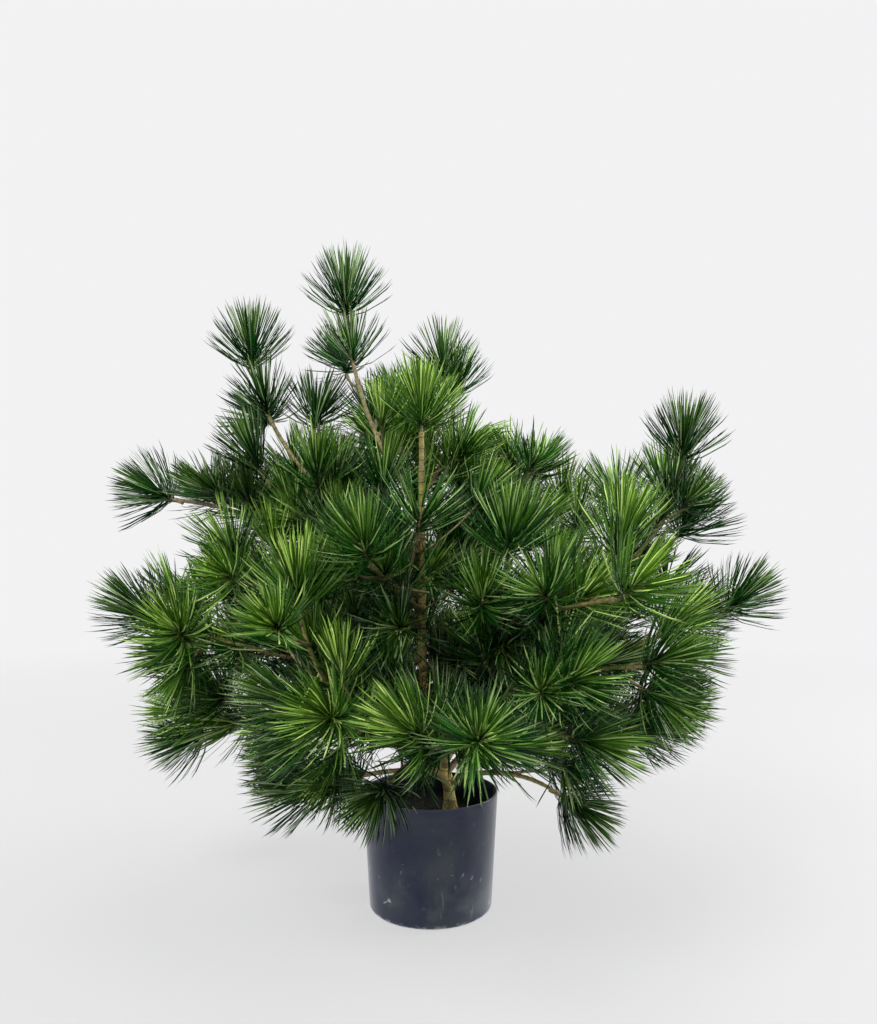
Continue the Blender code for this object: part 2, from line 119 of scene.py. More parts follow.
def ringQuads(rings, sides):
    # a quad between each two neighbours on a ring and the same two on the next
    r, k = np.arange(rings - 1)[:, None] * sides, np.arange(sides)
    n = (k + 1) % sides
    return np.stack([r + k, r + n, r + sides + n, r + sides + k], axis=-1).reshape(-1, 4)


def fan(first, sides, pole):
    # triangles between the ring that starts at a point and its pole
    k = np.arange(sides)
    return np.stack([first + k, first + (k + 1) % sides, np.full(sides, pole)], axis=-1)


def repeated(faces, count, points):
    # the faces of one form for count forms in a row, each of so many points
    step = points * np.arange(count)[:, None, None]
    return (faces + step).reshape(-1, faces.shape[1])


def tubeFaces(count, rings, sides):
    # quads round each tube and a fan on a pole point at each end
    foot, last = rings * sides, (rings - 1) * sides
    tris = np.concatenate([fan(0, sides, foot)[:, ::-1], fan(last, sides, foot + 1)])
    return [repeated(faces, count, foot + 2) for faces in (ringQuads(rings, sides), tris)]


def closedForm(skin, poles):
    # one closed form from a grid of rings and the point that closes each end
    return np.concatenate([skin.reshape(-1, 3), poles]), *tubeFaces(1, *skin.shape[:2])


def tubeUv(along, mark, sides):
    # across each tube its own number, along it the distance from its root
    v = np.concatenate([np.repeat(along, sides, axis=1), along[:, [0, -1]]], axis=1)
    u = np.broadcast_to(np.asarray(mark)[:, None], v.shape)
    return np.stack([u, v], axis=-1).reshape(-1, 2)


def tubes(path, across, radius, along, mark):
    # point = path + radius * (cos(turn) * across + sin(turn) * over), with over square to both;
    # path is tubes x rings x 3, across is one direction for each tube, radius tubes x rings x sides
    count, rings, sides = radius.shape
    tangent = unit(np.gradient(path, axis=1))
    over = unit(np.cross(tangent, across[:, None]))
    across = np.cross(over, tangent)
    turn = turns(sides)[:, None]
    ring = np.cos(turn) * across[:, :, None] + np.sin(turn) * over[:, :, None]
    skin = path[:, :, None] + radius[..., None] * ring
    verts = np.concatenate([skin.reshape(count, -1, 3), path[:, [0, -1]]], axis=1)
    return verts.reshape(-1, 3), *tubeFaces(count, rings, sides), tubeUv(along, mark, sides)


def joined(parts):
    # several lots of points, quads, triangles and uv as one
    lots, base = [], 0
    for verts, quads, tris, uv in parts:
        lots.append((verts, quads + base, tris + base, uv))
        base += len(verts)
    return [np.concatenate(column) for column in zip(*lots)]


# Materials: every pattern reads Object coordinates or the piece's own uv map. A new node goes
# into the tree of the node or socket that it is given first; a colour has three numbers.


def feed(node, inputs):
    # by name or number of each input, a value or the socket of another node
    for key, value in inputs.items():
        socket = node.inputs[key]
        if isinstance(value, bpy.types.NodeSocket):
            node.id_data.links.new(value, socket)
        else:
            socket.default_value = (*value, 1.0) if socket.type == "RGBA" else value
    return node


def addNode(near, kind, inputs, **settings):
    made = near.id_data.nodes.new("ShaderNode" + kind)
    for key, value in settings.items():
        setattr(made, key, value)
    return feed(made, inputs)


def newMaterial(name, inputs):
    # the material, its shader and the Object coordinates
    mat = bpy.data.materials.new(name)
    mat.use_nodes = True
    shader = feed(mat.node_tree.nodes["Principled BSDF"], inputs)
    return mat, shader, addNode(shader, "TexCoord", {}).outputs["Object"]


def axesOf(vector):
    return addNode(vector, "SeparateXYZ", {"Vector": vector}).outputs


def ownUv(near, label):
    return axesOf(addNode(near, "UVMap", {}, uv_map=label).outputs["UV"])


def noiseOf(place, scale, detail=3.0, roughness=0.55, distortion=0.0):
    return addNode(place, "TexNoise", {
        "Vector": place, "Scale": scale, "Detail": detail,
        "Roughness": roughness, "Distortion": distortion}).outputs["Fac"]


def rampOf(value, stops):
    ramp = addNode(value, "ValToRGB", {"Fac": value})
    bar = ramp.color_ramp.elements
    while len(bar) < len(stops):
        bar.new(0.5)
    for stop, (at, colour) in zip(bar, stops):
        stop.position = at
        stop.color = (*colour, 1.0)
    return ramp.outputs["Color"]


def rangeOf(value, low, high, outLow=0.0, outHigh=1.0):
    return addNode(value, "MapRange", {
        "Value": value, "From Min": low, "From Max": high,
        "To Min": outLow, "To Max": outHigh}).outputs["Result"]


def mathOf(operation, a, b=0.0):
    return addNode(a, "Math", {0: a, 1: b}, operation=operation).outputs["Value"]


def times(a, b):
    return mathOf("MULTIPLY", a, b)


def plus(a, b):
    return mathOf("ADD", a, b)


def mixOf(share, a, b):
    return addNode(share, "Mix", {0: share, 6: a, 7: b}, data_type="RGBA").outputs[2]


def shifted(colour, **changes):
    changes["Color"] = colour
    return addNode(colour, "HueSaturation", changes).outputs["Color"]


def bumpOf(height, distance, strength, **below):
    return addNode(height, "Bump", {
        "Height": height, "Distance": distance, "Strength": strength, **below}).outputs["Normal"]


# Stem: one trunk that leaves the filling right of the middle, swings back and leans to the front

stem = {
    "foot": 0.108, "tip": 0.524,
    "footX": 0.022, "tipX": -0.009, "tipY": -0.080, "swing": 0.42, "lean": 1.25,
    "footRadius": 0.0074, "tipRadius": 0.0030, "flare": 0.0045, "flareFall": 0.011,
    "slim": 0.76,  # the bark's own share of the solid's thickness, before its relief
    "rings": 260, "sides": 26, "sunk": 0.003, "ridge": 0.00022,
    "scarStep": 0.0118, "scarHeight": 0.00055, "collarHeight": 0.0009, "collarSpread": 0.0065,
    "collarRise": 0.6,  # how far a collar sits above its bough's middle, in widths
}


def trunkPoint(z):
    # a smooth step back in x, a growing lean in y
    z = np.asarray(z, float)
    climb = (z - stem["foot"]) / (stem["tip"] - stem["foot"])
    step = np.clip(climb / stem["swing"], 0, 1)
    x = between((stem["footX"], stem["tipX"]), step * step * (3 - 2 * step))
    return np.stack([x, stem["tipY"] * np.maximum(climb, 0) ** stem["lean"], z], axis=-1)


def trunkRadius(z):
    # a straight taper, and a flare that dies away above the foot
    rise = np.asarray(z, float) - stem["foot"]
    taper = between((stem["footRadius"], stem["tipRadius"]), rise / (stem["tip"] - stem["foot"]))
    return taper + stem["flare"] * np.exp(-np.maximum(rise, 0) / stem["flareFall"])


# Crown: the same rows and the same seeded rule as the solids, one row for each bough.
# azimuth, root, reach, height, aim, spacing, seeds, and a letter for each tuft from the tip back:
# y yellow green, g mid green, b blue green

crown = {
    "top_left": (-168, 0.440, 0.095, 0.655, 84, 0.052, (8822, 8297), "bbg"),
    "upper_left": (180, 0.398, 0.200, 0.600, 76, 0.052, (3379, 7512), "bbb"),
    "upper_back": (65, 0.464, 0.065, 0.575, 75, 0.034, (9863,), "gy"),
    "left_high": (176, 0.318, 0.295, 0.455, 5, 0.064, (5779, 9633, 13786), "bbbg"),
    "left_shoulder": (-171, 0.350, 0.185, 0.480, 45, 0.064, (9968, 15039), "bgg"),
    "left_front": (-153, 0.279, 0.220, 0.390, 45, 0.052, (5403, 15824), "yyg"),
    "left": (-170, 0.235, 0.290, 0.320, 15, 0.042, (10247, 3607, 2722), "byyg"),
    "left_low": (171, 0.190, 0.265, 0.180, -20, 0.064, (177, 5303), "bgy"),
    "low_left": (-170, 0.146, 0.120, 0.135, -25, 0.034, (5955, 57), "bbg"),
    "low_front": (-106, 0.126, 0.145, 0.175, -25, 0.064, (2288,), "bb"),
    "front_left_low": (-107, 0.172, 0.260, 0.260, 10, 0.042, (1273, 17), "ybg"),
    "front_left": (-119, 0.207, 0.240, 0.350, 75, 0.064, (123, 545), "yyg"),
    "front_up_left": (-106, 0.334, 0.200, 0.395, 25, 0.064, (8222, 4115), "gbg"),
    "front_low": (-83, 0.158, 0.315, 0.255, 10, 0.064, (1817, 10469), "gyb"),
    "front_right_low": (-62, 0.199, 0.250, 0.285, 10, 0.064, (7022,), "gg"),
    "front_right": (-54, 0.268, 0.285, 0.365, 10, 0.064, (14262, 5483, 11255), "yygg"),
    "right": (-34, 0.217, 0.250, 0.290, 5, 0.052, (15021, 53), "gyg"),
    "right_low": (-17, 0.181, 0.210, 0.205, 5, 0.064, (8166,), "bg"),
    "low_right": (-16, 0.137, 0.145, 0.135, -35, 0.064, (6144,), "bb"),
    "right_back": (3, 0.246, 0.335, 0.325, 20, 0.064, (5112,), "bb"),
    "right_high": (-2, 0.304, 0.280, 0.495, 84, 0.042, (9041, 7121, 10254), "bybg"),
    "upper_right": (26, 0.382, 0.135, 0.480, 50, 0.052, (1180, 13232, 11380), "gyyg"),
    "back_top": (97, 0.480, 0.100, 0.555, 65, 0.064, (5366, 2640), "ygg"),
    "back_high_left": (132, 0.418, 0.200, 0.470, 45, 0.042, (1348, 3462, 11584), "ggyy"),
    "back_high_right": (68, 0.366, 0.215, 0.440, 45, 0.064, (7919, 7529, 11892), "yybb"),
    "back_left": (146, 0.257, 0.300, 0.350, 20, 0.064, (10770, 1080, 9563), "gbgg"),
    "back": (92, 0.291, 0.290, 0.345, 25, 0.052, (675, 271, 1286), "gbyg"),
    "back_right": (45, 0.226, 0.300, 0.300, 20, 0.034, (936, 171), "gbg"),
    "back_low": (105, 0.165, 0.240, 0.200, 0, 0.064, (7610, 15470), "bgg"),
    "back_low_right": (48, 0.150, 0.235, 0.215, 5, 0.052, (4931, 4155), "gbb"),
}

# Tufts of their own, by bough and place from its tip: the length of their needles as a share and,
# where they don't turn up to the light as the rest do, how far they turn to the right and up
ownTufts = {
    "top_left": {0: (1, 0.06, 0.45), 1: (0.88, -0.4, 0.7)},
    "upper_left": {0: (1, 0.05, 0.7), 1: (1, -0.3, 0.4)},
    "upper_back": {0: (0.92,), 1: (0.85, 0, 0.2)},
    "left_high": {0: (1, 0, 0.08), 1: (0.88, 0, 0.2), 2: (0.88, 0, 0.2)},
    "left_front": {0: (0.93,)},
    "left": {0: (1.03, 0, 0.12), 2: (0.90, -0.2, 0)},
    "low_left": {0: (1.06, -0.85, 0.30)},
    "low_front": {0: (0.90,)},
    "front_left_low": {2: (0.92,)},
    "front_left": {1: (0.78,)},
    "front_right_low": {1: (1, 0, 0.15)},
    "right": {0: (0.92,)},
    "right_low": {0: (0.92,)},
    "low_right": {0: (0.92, -0.25, 0)},
    "right_high": {0: (1.02, 0.12, 0.75), 1: (1.05, 0.15, 0.5), 2: (1.12, 0.1, 0.6)},
    "upper_right": {0: (0.86, 0, 0.1), 1: (0.92, 0, 0.1), 2: (1, 0, 0.2)},
    "back_low": {1: (0.8,), 2: (0.8,)},
}

limbs = {
    "rootRadius": 0.0042, "tipRadius": 0.0024, "rootShare": 0.8, "slim": 0.80,
    "rise": (-10, 55), "tipLift": 0.25, "leaderLead": 0.0023,
    "innermost": 0.12,  # share of a bough past which side twigs leave, and their ranges
    "swing": (25, 85), "roll": (-80, 80), "size": (0.025, 0.080), "lift": (0.0, 0.9),
    "rings": 130, "sides": 12, "ridge": 0.00013,
    "scarStep": 0.0085, "scarHeight": 0.00038,
    "scarWidth": 0.14,  # as a share of the step
    "collar": 0.0013, "collarFrom": 0.006, "collarFall": 0.007,
}


def limbOf(row):
    # a cubic through both ends and their slopes, from the stem's middle line to the tip
    azimuth, root, reach, height, aim = row[:5]
    azimuth, aim = math.radians(azimuth), math.radians(aim)
    start = trunkPoint(root)
    tip = np.array([reach * math.cos(azimuth), reach * math.sin(azimuth), height])
    chord = tip - start
    size = float(np.linalg.norm(chord))
    heading = math.atan2(chord[1], chord[0])
    # it leaves the stem by the aim mirrored about the chord, within limits
    rise = np.clip(2 * math.asin(chord[2] / size) - aim, *np.radians(limbs["rise"]))
    limb = {"root": start, "tip": tip, "leave": polar(rise, heading) * size,
            "arrive": polar(aim, heading) * size,
            "width": min(limbs["rootRadius"], limbs["rootShare"] * float(trunkRadius(root))),
            "across": np.array([-math.sin(heading), math.cos(heading), 0.0])}
    steps = limbPoint(limb, np.linspace(0, 1, 41))
    limb["length"] = float(np.linalg.norm(np.diff(steps, axis=0), axis=1).sum())
    return limb


def limbPoint(limb, s):
    s = np.asarray(s, float)[..., None]
    return ((2 * s**3 - 3 * s**2 + 1) * limb["root"] + (s**3 - 2 * s**2 + s) * limb["leave"]
            + (3 * s**2 - 2 * s**3) * limb["tip"] + (s**3 - s**2) * limb["arrive"])


def limbWay(limb, s):
    # the slope of the same cubic
    s = np.asarray(s, float)[..., None]
    return unit((6 * s * s - 6 * s) * (limb["root"] - limb["tip"])
                + (3 * s * s - 4 * s + 1) * limb["leave"] + (3 * s * s - 2 * s) * limb["arrive"])


def twigFrom(start, along, hand, swing, roll, size, lift):
    # leaves its limb by swing and roll, bends half-way and ends lifted towards the light
    side = unit(np.cross(along, up))
    over = np.cross(side, along)
    outward = side * hand * math.cos(roll) + over * math.sin(roll)
    way = along * math.cos(swing) + outward * math.sin(swing)
    axis = unit(way + lift * up)
    bend = start + way * size * 0.5
    return {"start": start, "bend": bend, "root": bend + axis * size * 0.5, "axis": axis,
            "way": way}


def twigOn(limb, s, hand, swing, roll, size, lift):
    # the same a share of the way along a limb, by swing and roll in degrees
    return twigFrom(limbPoint(limb, s), limbWay(limb, s), hand,
                    math.radians(swing), math.radians(roll), size, lift)


def drawn(kind, shares):
    # swing, roll, length and lift, each that share of the way through its range
    keys = ("swing", "roll", "size", "lift")
    return [between(kind[key], share) for key, share in zip(keys, shares)]


def sideTwig(limb, row, k):
    # k spacings back from the tip and a half to one and a half more, by chance, on either side
    draw = random.Random(row[6][k])
    share = [draw.random() for _ in range(6)]
    s = max(limbs["innermost"], 1 - (k + 0.5 + share[0]) * row[5] / limb["length"])
    return twigOn(limb, s, -1.0 if share[1] < 0.5 else 1.0, *drawn(limbs, share[2:]))


def tuftOf(name, k, root, axis):
    scale, *turn = ownTufts.get(name, {}).get(k, (1.0,))
    return {"mass": name, "tint": crown[name][7][k], "root": root, "axis": axis,
            "scale": scale, "turn": turn}


def pointOn(tuft, rise):
    return tuft["root"] + rise * tuft["axis"]


allLimbs = {name: limbOf(row) for name, row in crown.items()}
allTwigs, allTufts = [], []
for name, row in crown.items():
    limb = allLimbs[name]
    tipAxis = unit(limbWay(limb, 1.0) + limbs["tipLift"] * up)
    allTufts.append(tuftOf(name, 0, limb["tip"], tipAxis))
    for k in range(len(row[6])):
        twig = sideTwig(limb, row, k)
        allTwigs.append(twig)
        allTufts.append(tuftOf(name, k + 1, twig["root"], twig["axis"]))
leader = {"mass": "leader", "tint": "y", "scale": 1.0, "root": trunkPoint(stem["tip"]),
          "axis": unit(trunkPoint(stem["tip"]) - trunkPoint(stem["tip"] - 0.03))}
leader["root"] = pointOn(leader, limbs["leaderLead"])
allTufts.append(leader)
print("crown:", len(allLimbs), "boughs,", len(allTwigs), "twigs,", len(allTufts), "tufts")

# Finer growth inside the crown: whorls that sit on the boughs themselves, a needle's length
# apart, and short side twigs. Each has its own spray, and both keep inside the larger tufts.

finer = {
    "seed": 71,
    "firstWhorl": 0.058, "whorlStep": 0.046, "whorlSpread": (0.85, 1.2),
    "whorlScale": 0.92, "whorlLift": 0.15,
    "from": 0.20, "to": 0.94, "step": 0.026, "spread": (0.8, 1.3), "scale": 0.86,
    "swing": (40, 85), "roll": (-80, 80), "size": (0.016, 0.045), "lift": (0.0, 0.7),
    "stemHeights": (0.185, 0.43, 0.0125), "stemSwing": (55, 88), "stemSize": (0.022, 0.075),
    "stemLift": 0.5,
    "accentScale": 0.95,
    "darker": 0.35,
    "heart": 0.03, "cover": 0.04, "end": 0.05,  # places up a tuft's axis for its tint and cover
    "middle": (0.0, -0.02, 0.34), "margin": 0.004, "covers": 2,
    "cone": 0.86,  # cosine within which a tuft counts as standing in the same direction
    # boughs that show bare wood, with the whorls each may carry; side twigs stay below this share
    "bare": {"top_left": 1, "upper_left": 1, "right_back": 1, "upper_back": 0, "low_right": 0},
    "bareFrom": 0.45,
}


def enclosed(tip):
    # true where enough larger tufts stand further out in the same direction
    middle = np.array(finer["middle"])
    outer = np.array([pointOn(t, finer["cover"]) for t in allTufts]) - middle
    reach = np.linalg.norm(outer, axis=1)
    tip = tip - middle
    far = float(np.linalg.norm(tip))
    ahead = (outer @ tip / (reach * far) > finer["cone"]) & (reach > far + finer["margin"])
    return ahead.sum() >= finer["covers"]


def tintNear(point, draw):
    # the tint of the nearest larger tuft, now and then a step darker
    gaps = [np.linalg.norm(pointOn(t, finer["heart"]) - point) for t in allTufts]
    tint = allTufts[int(np.argmin(gaps))]["tint"]
    return {"y": "g", "g": "b", "b": "b"}[tint] if draw.random() < finer["darker"] else tint


def boughWhorls():
    # from the tip back: the first always, the others where larger tufts enclose them
    draw = random.Random(finer["seed"])
    found = []
    for name, limb in allLimbs.items():
        back, made = finer["firstWhorl"], 0
        while back < (1 - finer["from"]) * limb["length"]:
            s = 1 - back / limb["length"]
            spray = {"mass": name, "root": limbPoint(limb, s), "scale": finer["whorlScale"],
                     "axis": unit(limbWay(limb, s) + finer["whorlLift"] * up)}
            spray["tint"] = tintNear(pointOn(spray, finer["heart"]), draw)
            wanted = made == 0 or enclosed(pointOn(spray, finer["end"]))
            if wanted and made < finer["bare"].get(name, math.inf):
                found.append(spray)
                made += 1
            back += finer["whorlStep"] * draw.uniform(*finer["whorlSpread"])
    return found


def finerTwigs():
    # right and left in turn along each bough, where larger tufts enclose them
    draw = random.Random(finer["seed"] + 1)
    found = []
    for name, limb in allLimbs.items():
        at, hand = finer["from"] * limb["length"], 1.0
        while at < finer["to"] * limb["length"]:
            s = at / limb["length"]
            twig = twigOn(limb, s, hand, *drawn(finer, [draw.random() for _ in range(4)]))
            twig.update(mass=name, scale=finer["scale"],
                        tint=tintNear(pointOn(twig, finer["heart"]), draw))
            hand = -hand
            at += finer["step"] * draw.uniform(*finer["spread"])
            bare = name in finer["bare"] and s > finer["bareFrom"]
            if not bare and enclosed(pointOn(twig, finer["end"])):
                found.append(twig)
    return found


def stemTwigs():
    # short shoots all round the stem, each a golden turn on from the last
    draw = random.Random(finer["seed"] + 2)
    found = []
    for k, z in enumerate(np.arange(*finer["stemHeights"])):
        start = trunkPoint(z)
        along = unit(trunkPoint(z + 0.01) - start)
        swing = math.radians(draw.uniform(*finer["stemSwing"]))
        twig = twigFrom(start, along, 1.0, swing, goldenAngle * k,
                        draw.uniform(*finer["stemSize"]), draw.random() * finer["stemLift"])
        near = min(crown, key=lambda name: abs(crown[name][1] - z))
        twig.update(mass=near, scale=finer["scale"], tint=tintNear(twig["root"], draw))
        found.append(twig)
    return found


# Single twigs where the crown would else show a hole: bough, root of the tuft, axis and tint

accents = [
    ("back_high_right", (0.160, 0.100, 0.440), (0.10, -0.10, 1.0), "y"),
    ("right_high", (0.205, 0.030, 0.300), (0.45, -0.35, 0.8), "g"),
    ("right_low", (0.246, -0.010, 0.225), (1.0, -0.15, 0.05), "g"),
    ("right_low", (0.231, 0.030, 0.197), (1.0, 0.0, -0.15), "b"),
    ("right", (0.247, -0.060, 0.285), (1.0, 0.0, 0.1), "g"),
    ("left_low", (-0.242, -0.020, 0.250), (-1.0, -0.1, 0.1), "g"),
    ("low_left", (-0.131, -0.030, 0.185), (-1.0, -0.2, 0.1), "b"),
    ("left", (-0.190, -0.010, 0.265), (-0.5, -0.4, 0.5), "g"),
    ("upper_back", (0.014, 0.050, 0.595), (0.0, 0.0, 1.0), "b"),
    ("left_low", (-0.258, 0.020, 0.210), (-1.0, -0.1, 0.15), "y"),
    ("right_back", (0.285, 0.020, 0.318), (0.8, 0.0, 0.35), "b"),
    ("upper_right", (0.165, 0.020, 0.417), (0.10, -0.2, 1.0), "g"),
    ("right_back", (0.215, 0.020, 0.318), (0.4, -0.3, 0.5), "g"),
    ("right", (0.215, -0.100, 0.262), (0.5, -0.3, -0.3), "g"),
    ("right_low", (0.220, -0.030, 0.232), (0.6, -0.4, 0.4), "g"),
    ("front_left_low", (-0.090, -0.055, 0.192), (-0.4, -0.4, -0.6), "g"),
    ("left", (-0.255, -0.035, 0.289), (-1.0, -0.3, -0.15), "g"),
]


def accentTwigs():
    # each springs from the nearest point of its bough and ends along its axis
    found = []
    for name, root, axis, tint in accents:
        root, axis = np.array(root), unit(np.array(axis))
        points = limbPoint(allLimbs[name], np.linspace(0.1, 0.95, 60))
        start = points[np.argmin(np.linalg.norm(points - root, axis=1))]
        bend = root - 0.5 * np.linalg.norm(root - start) * axis
        found.append({"mass": name, "tint": tint, "scale": finer["accentScale"], "start": start,
                      "bend": bend, "root": root, "axis": axis, "way": unit(bend - start)})
    return found


# What the picture shows open. Wood that no needle hides: limb, first and last share, half-width.
# Openings between the tufts: x, z and radius where the sight lines meet the plane y = 0.

clear = {
    "wood": [
        ("stem", 0.00, 0.11, 0.0065), ("stem", 0.35, 0.71, 0.0065), ("stem", 0.82, 1.00, 0.0055),
        ("top_left", 0.42, 0.78, 0.0050), ("upper_left", 0.62, 0.80, 0.0050),
        ("left_high", 0.84, 0.95, 0.0035), ("left", 0.55, 0.76, 0.0045),
        ("front_left", 0.74, 0.96, 0.0050), ("low_right", 0.68, 0.97, 0.0045),
        ("right", 0.84, 0.98, 0.0045), ("right_high", 0.68, 0.80, 0.0045),
        ("front_right", 0.76, 0.92, 0.0040)],
    "openings": [
        (0.062, 0.552, 0.009), (0.079, 0.548, 0.007), (0.123, 0.538, 0.006), (0.107, 0.541, 0.007),
        (-0.175, 0.530, 0.012), (0.215, 0.516, 0.010), (-0.267, 0.502, 0.010),
        (-0.284, 0.385, 0.010), (0.272, 0.379, 0.006), (0.287, 0.404, 0.006),
        (0.086, 0.112, 0.012), (-0.051, 0.169, 0.008), (-0.237, 0.177, 0.007),
        (0.023, 0.160, 0.009), (0.062, 0.143, 0.005), (-0.038, 0.154, 0.006),
        (-0.068, 0.145, 0.006), (-0.124, 0.600, 0.008), (-0.250, 0.502, 0.006),
        (-0.268, 0.400, 0.006), (0.196, 0.500, 0.006), (0.136, 0.532, 0.006),
        (0.314, 0.509, 0.003), (-0.321, 0.248, 0.007)],
    "sprayMiddle": 0.035,
    "sprayMargin": 0.012,
    "crossing": 0.08,  # share of the needles in the way that stay
    "front": 0.004,
    "ofPot": 0.001, "ofBark": 0.0008, "belowTip": 0.004,
}


def onPlane(points):
    # where the viewer's sight line through each point meets the plane y = 0
    eye = np.array(camera["at"])
    ray = points - eye
    share = -eye[1] / ray[..., 1:2]
    return (eye + share * ray)[..., [0, 2]]


def inOpening(points, margin=0.0):
    seen = onPlane(points)
    inside = np.zeros(seen.shape[:-1], bool)
    for x, z, radius in clear["openings"]:
        inside |= np.linalg.norm(seen - np.array([x, z]), axis=-1) < radius + margin
    return inside


def hidesWood(points):
    # true where a point stands in front of a stretch of wood that is seen
    seen = onPlane(points)
    hides = np.zeros(seen.shape[:-1], bool)
    for name, first, last, halfWidth in clear["wood"]:
        share = np.linspace(first, last, 24)
        if name == "stem":
            wood = trunkPoint(between((stem["foot"], stem["tip"]), share))
        else:
            wood = limbPoint(allLimbs[name], share)
        for point, place in zip(wood, onPlane(wood)):
            close = np.abs(seen - place).max(axis=-1) < halfWidth
            hides |= close & (points[..., 1] < point[1] - clear["front"])
    return hides


def inTheWay(spray):
    # a finer spray is left out where its middle covers an opening or seen wood
    middle = pointOn(spray, clear["sprayMiddle"])
    return bool(inOpening(middle, clear["sprayMargin"]) or hidesWood(middle))


whorls = [spray for spray in boughWhorls() if not inTheWay(spray)]
fineTwigs = [twig for twig in finerTwigs() + stemTwigs() + accentTwigs() if not inTheWay(twig)]
print("finer growth:", len(whorls), "whorls and", len(fineTwigs), "twigs")

# Bark

# each kind's last number paints the wood paler below the middle of the crown: a little weathering,
# mostly painted light against the foliage's shade
barks = {
    "trunk": {
        "ramp": [(0.30, (0.085, 0.074, 0.024)), (0.48, (0.190, 0.150, 0.040)),
                 (0.62, (0.285, 0.225, 0.062)), (0.80, (0.250, 0.155, 0.045))],
        "scar": (0.050, 0.040, 0.017),
        "light": (0.42, 0.36, 0.16),
        "weatheredAndPaintedLight": 2.2,
    },
    "bough": {
        "ramp": [(0.30, (0.060, 0.052, 0.020)), (0.48, (0.125, 0.102, 0.032)),
                 (0.62, (0.185, 0.148, 0.048)), (0.80, (0.165, 0.104, 0.036))],
        "scar": (0.034, 0.027, 0.013),
        "light": (0.28, 0.24, 0.12),
        "weatheredAndPaintedLight": 0.8,
    },
    "twig": {
        "ramp": [(0.28, (0.046, 0.044, 0.018)), (0.50, (0.115, 0.103, 0.038)),
                 (0.66, (0.185, 0.158, 0.060)), (0.82, (0.165, 0.110, 0.042))],
        "scar": (0.030, 0.025, 0.012),
        "light": (0.28, 0.26, 0.14),
        "weatheredAndPaintedLight": 0.6,
    },
}


def barkMaterial(kind, ring):
    bark = barks[kind]
    mat, shader, place = newMaterial(kind + " bark", {})
    broad = noiseOf(place, 38.0, 4.0, 0.6)
    fine = noiseOf(place, 420.0, 3.0, 0.6)
    # dark rings at the scars, broken up by the noise
    wave = times(ownUv(place, "along")["Y"], 2 * math.pi / ring)
    scar = rangeOf(mathOf("SINE", plus(wave, times(broad, 3.0))), 0.84, 1.0)
    colour = mixOf(times(scar, 0.78), rampOf(broad, bark["ramp"]), bark["scar"])
    colour = mixOf(times(rangeOf(fine, 0.42, 0.72), 0.45), colour, bark["light"])
    # painted light: paler from the middle of the crown down, a little for the wood's weathering,
    # mostly a painted lift against the shade the foliage casts on it
    paintedLight = rangeOf(axesOf(place)["Z"], 0.40, 0.33)
    feed(shader, {
        "Base Color": shifted(colour, Value=plus(times(paintedLight, bark["weatheredAndPaintedLight"]), 1.0)),
        "Roughness": rangeOf(fine, 0.3, 0.7, 0.48, 0.72),
        "Normal": bumpOf(scar, 0.0006, 0.6, Normal=bumpOf(fine, 0.0009, 0.7))})
    return mat


def scars(distance, turn, phase, wood=limbs, share=1.0):
    # a low swelling at each scar, unequal round the limb
    place = (distance / wood["scarStep"] + phase) % 1.0 - 0.5
    swell = np.exp(-(place / limbs["scarWidth"]) ** 2)[..., None]
    uneven = 0.65 + 0.35 * np.sin(3 * turn + 40 * distance[..., None])
    return share * wood["scarHeight"] * swell * uneven


def buildTrunk():
    # the stem's taper with two waves of ridges that wind round it, scars, and a collar where
    # each bough leaves
    z = np.linspace(stem["foot"] - stem["sunk"], stem["tip"], stem["rings"])
    turn = turns(stem["sides"])
    middle = trunkPoint(z)
    rough = np.sin(5 * turn + 31 * z[:, None]) + 0.6 * np.sin(9 * turn - 55 * z[:, None])
    radius = stem["slim"] * trunkRadius(z)[:, None] + stem["ridge"] * rough
    radius += scars(z, turn, 0.2, stem)
    skin = middle[:, None] + around(radius, 0, stem["sides"])
    for limb in allLimbs.values():
        out = unit(limb["leave"] * np.array([1, 1, 0]))
        seat = limb["root"] + out * float(trunkRadius(limb["root"][2]))
        seat = seat + up * stem["collarRise"] * limb["width"]
        apart = np.linalg.norm(skin - seat, axis=-1)
        radius += stem["collarHeight"] * np.exp(-(apart / stem["collarSpread"]) ** 2)
    skin = middle[:, None] + around(radius, 0, stem["sides"])
    piece = addPiece("trunkBark", barkMaterial("trunk", stem["scarStep"]),
                     *closedForm(skin, middle[[0, -1]]), tubeUv(z[None], [0.5], stem["sides"]))
    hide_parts("trunk")


def limbTubes(chosen):
    # a straight taper with a collar at the root, scars, and ridges that wind round the limb
    s = np.linspace(0, 1, limbs["rings"])
    path = np.stack([limbPoint(limb, s) for limb in chosen])
    size, width, across = gathered(chosen, "length", "width", "across")
    length = size[:, None] * s
    collar = np.exp(-np.maximum(length - limbs["collarFrom"], 0) / limbs["collarFall"])
    base = limbs["slim"] * between((width[:, None], limbs["tipRadius"]), s)
    base = base + limbs["collar"] * collar
    turn = turns(limbs["sides"])
    phase = np.arange(len(chosen))[:, None] * 0.37
    radius = base[..., None] + scars(length, turn, phase)
    radius = radius + limbs["ridge"] * np.sin(5 * turn + 90 * length[..., None])
    return tubes(path, across, radius, length, phase[:, 0] % 1)


# Twigs as wood: those that carry the larger tufts, and the finer ones

twigWood = {
    "large": {"root": 0.0018, "tip": 0.0013, "rings": 36, "sides": 8, "sunk": 0.012},
    "fine": {"root": 0.0015, "tip": 0.0011, "rings": 16, "sides": 6, "sunk": 0.006},
    "collar": 0.0008,
    "collarFall": 0.004,
    "scarShare": 0.7,
}


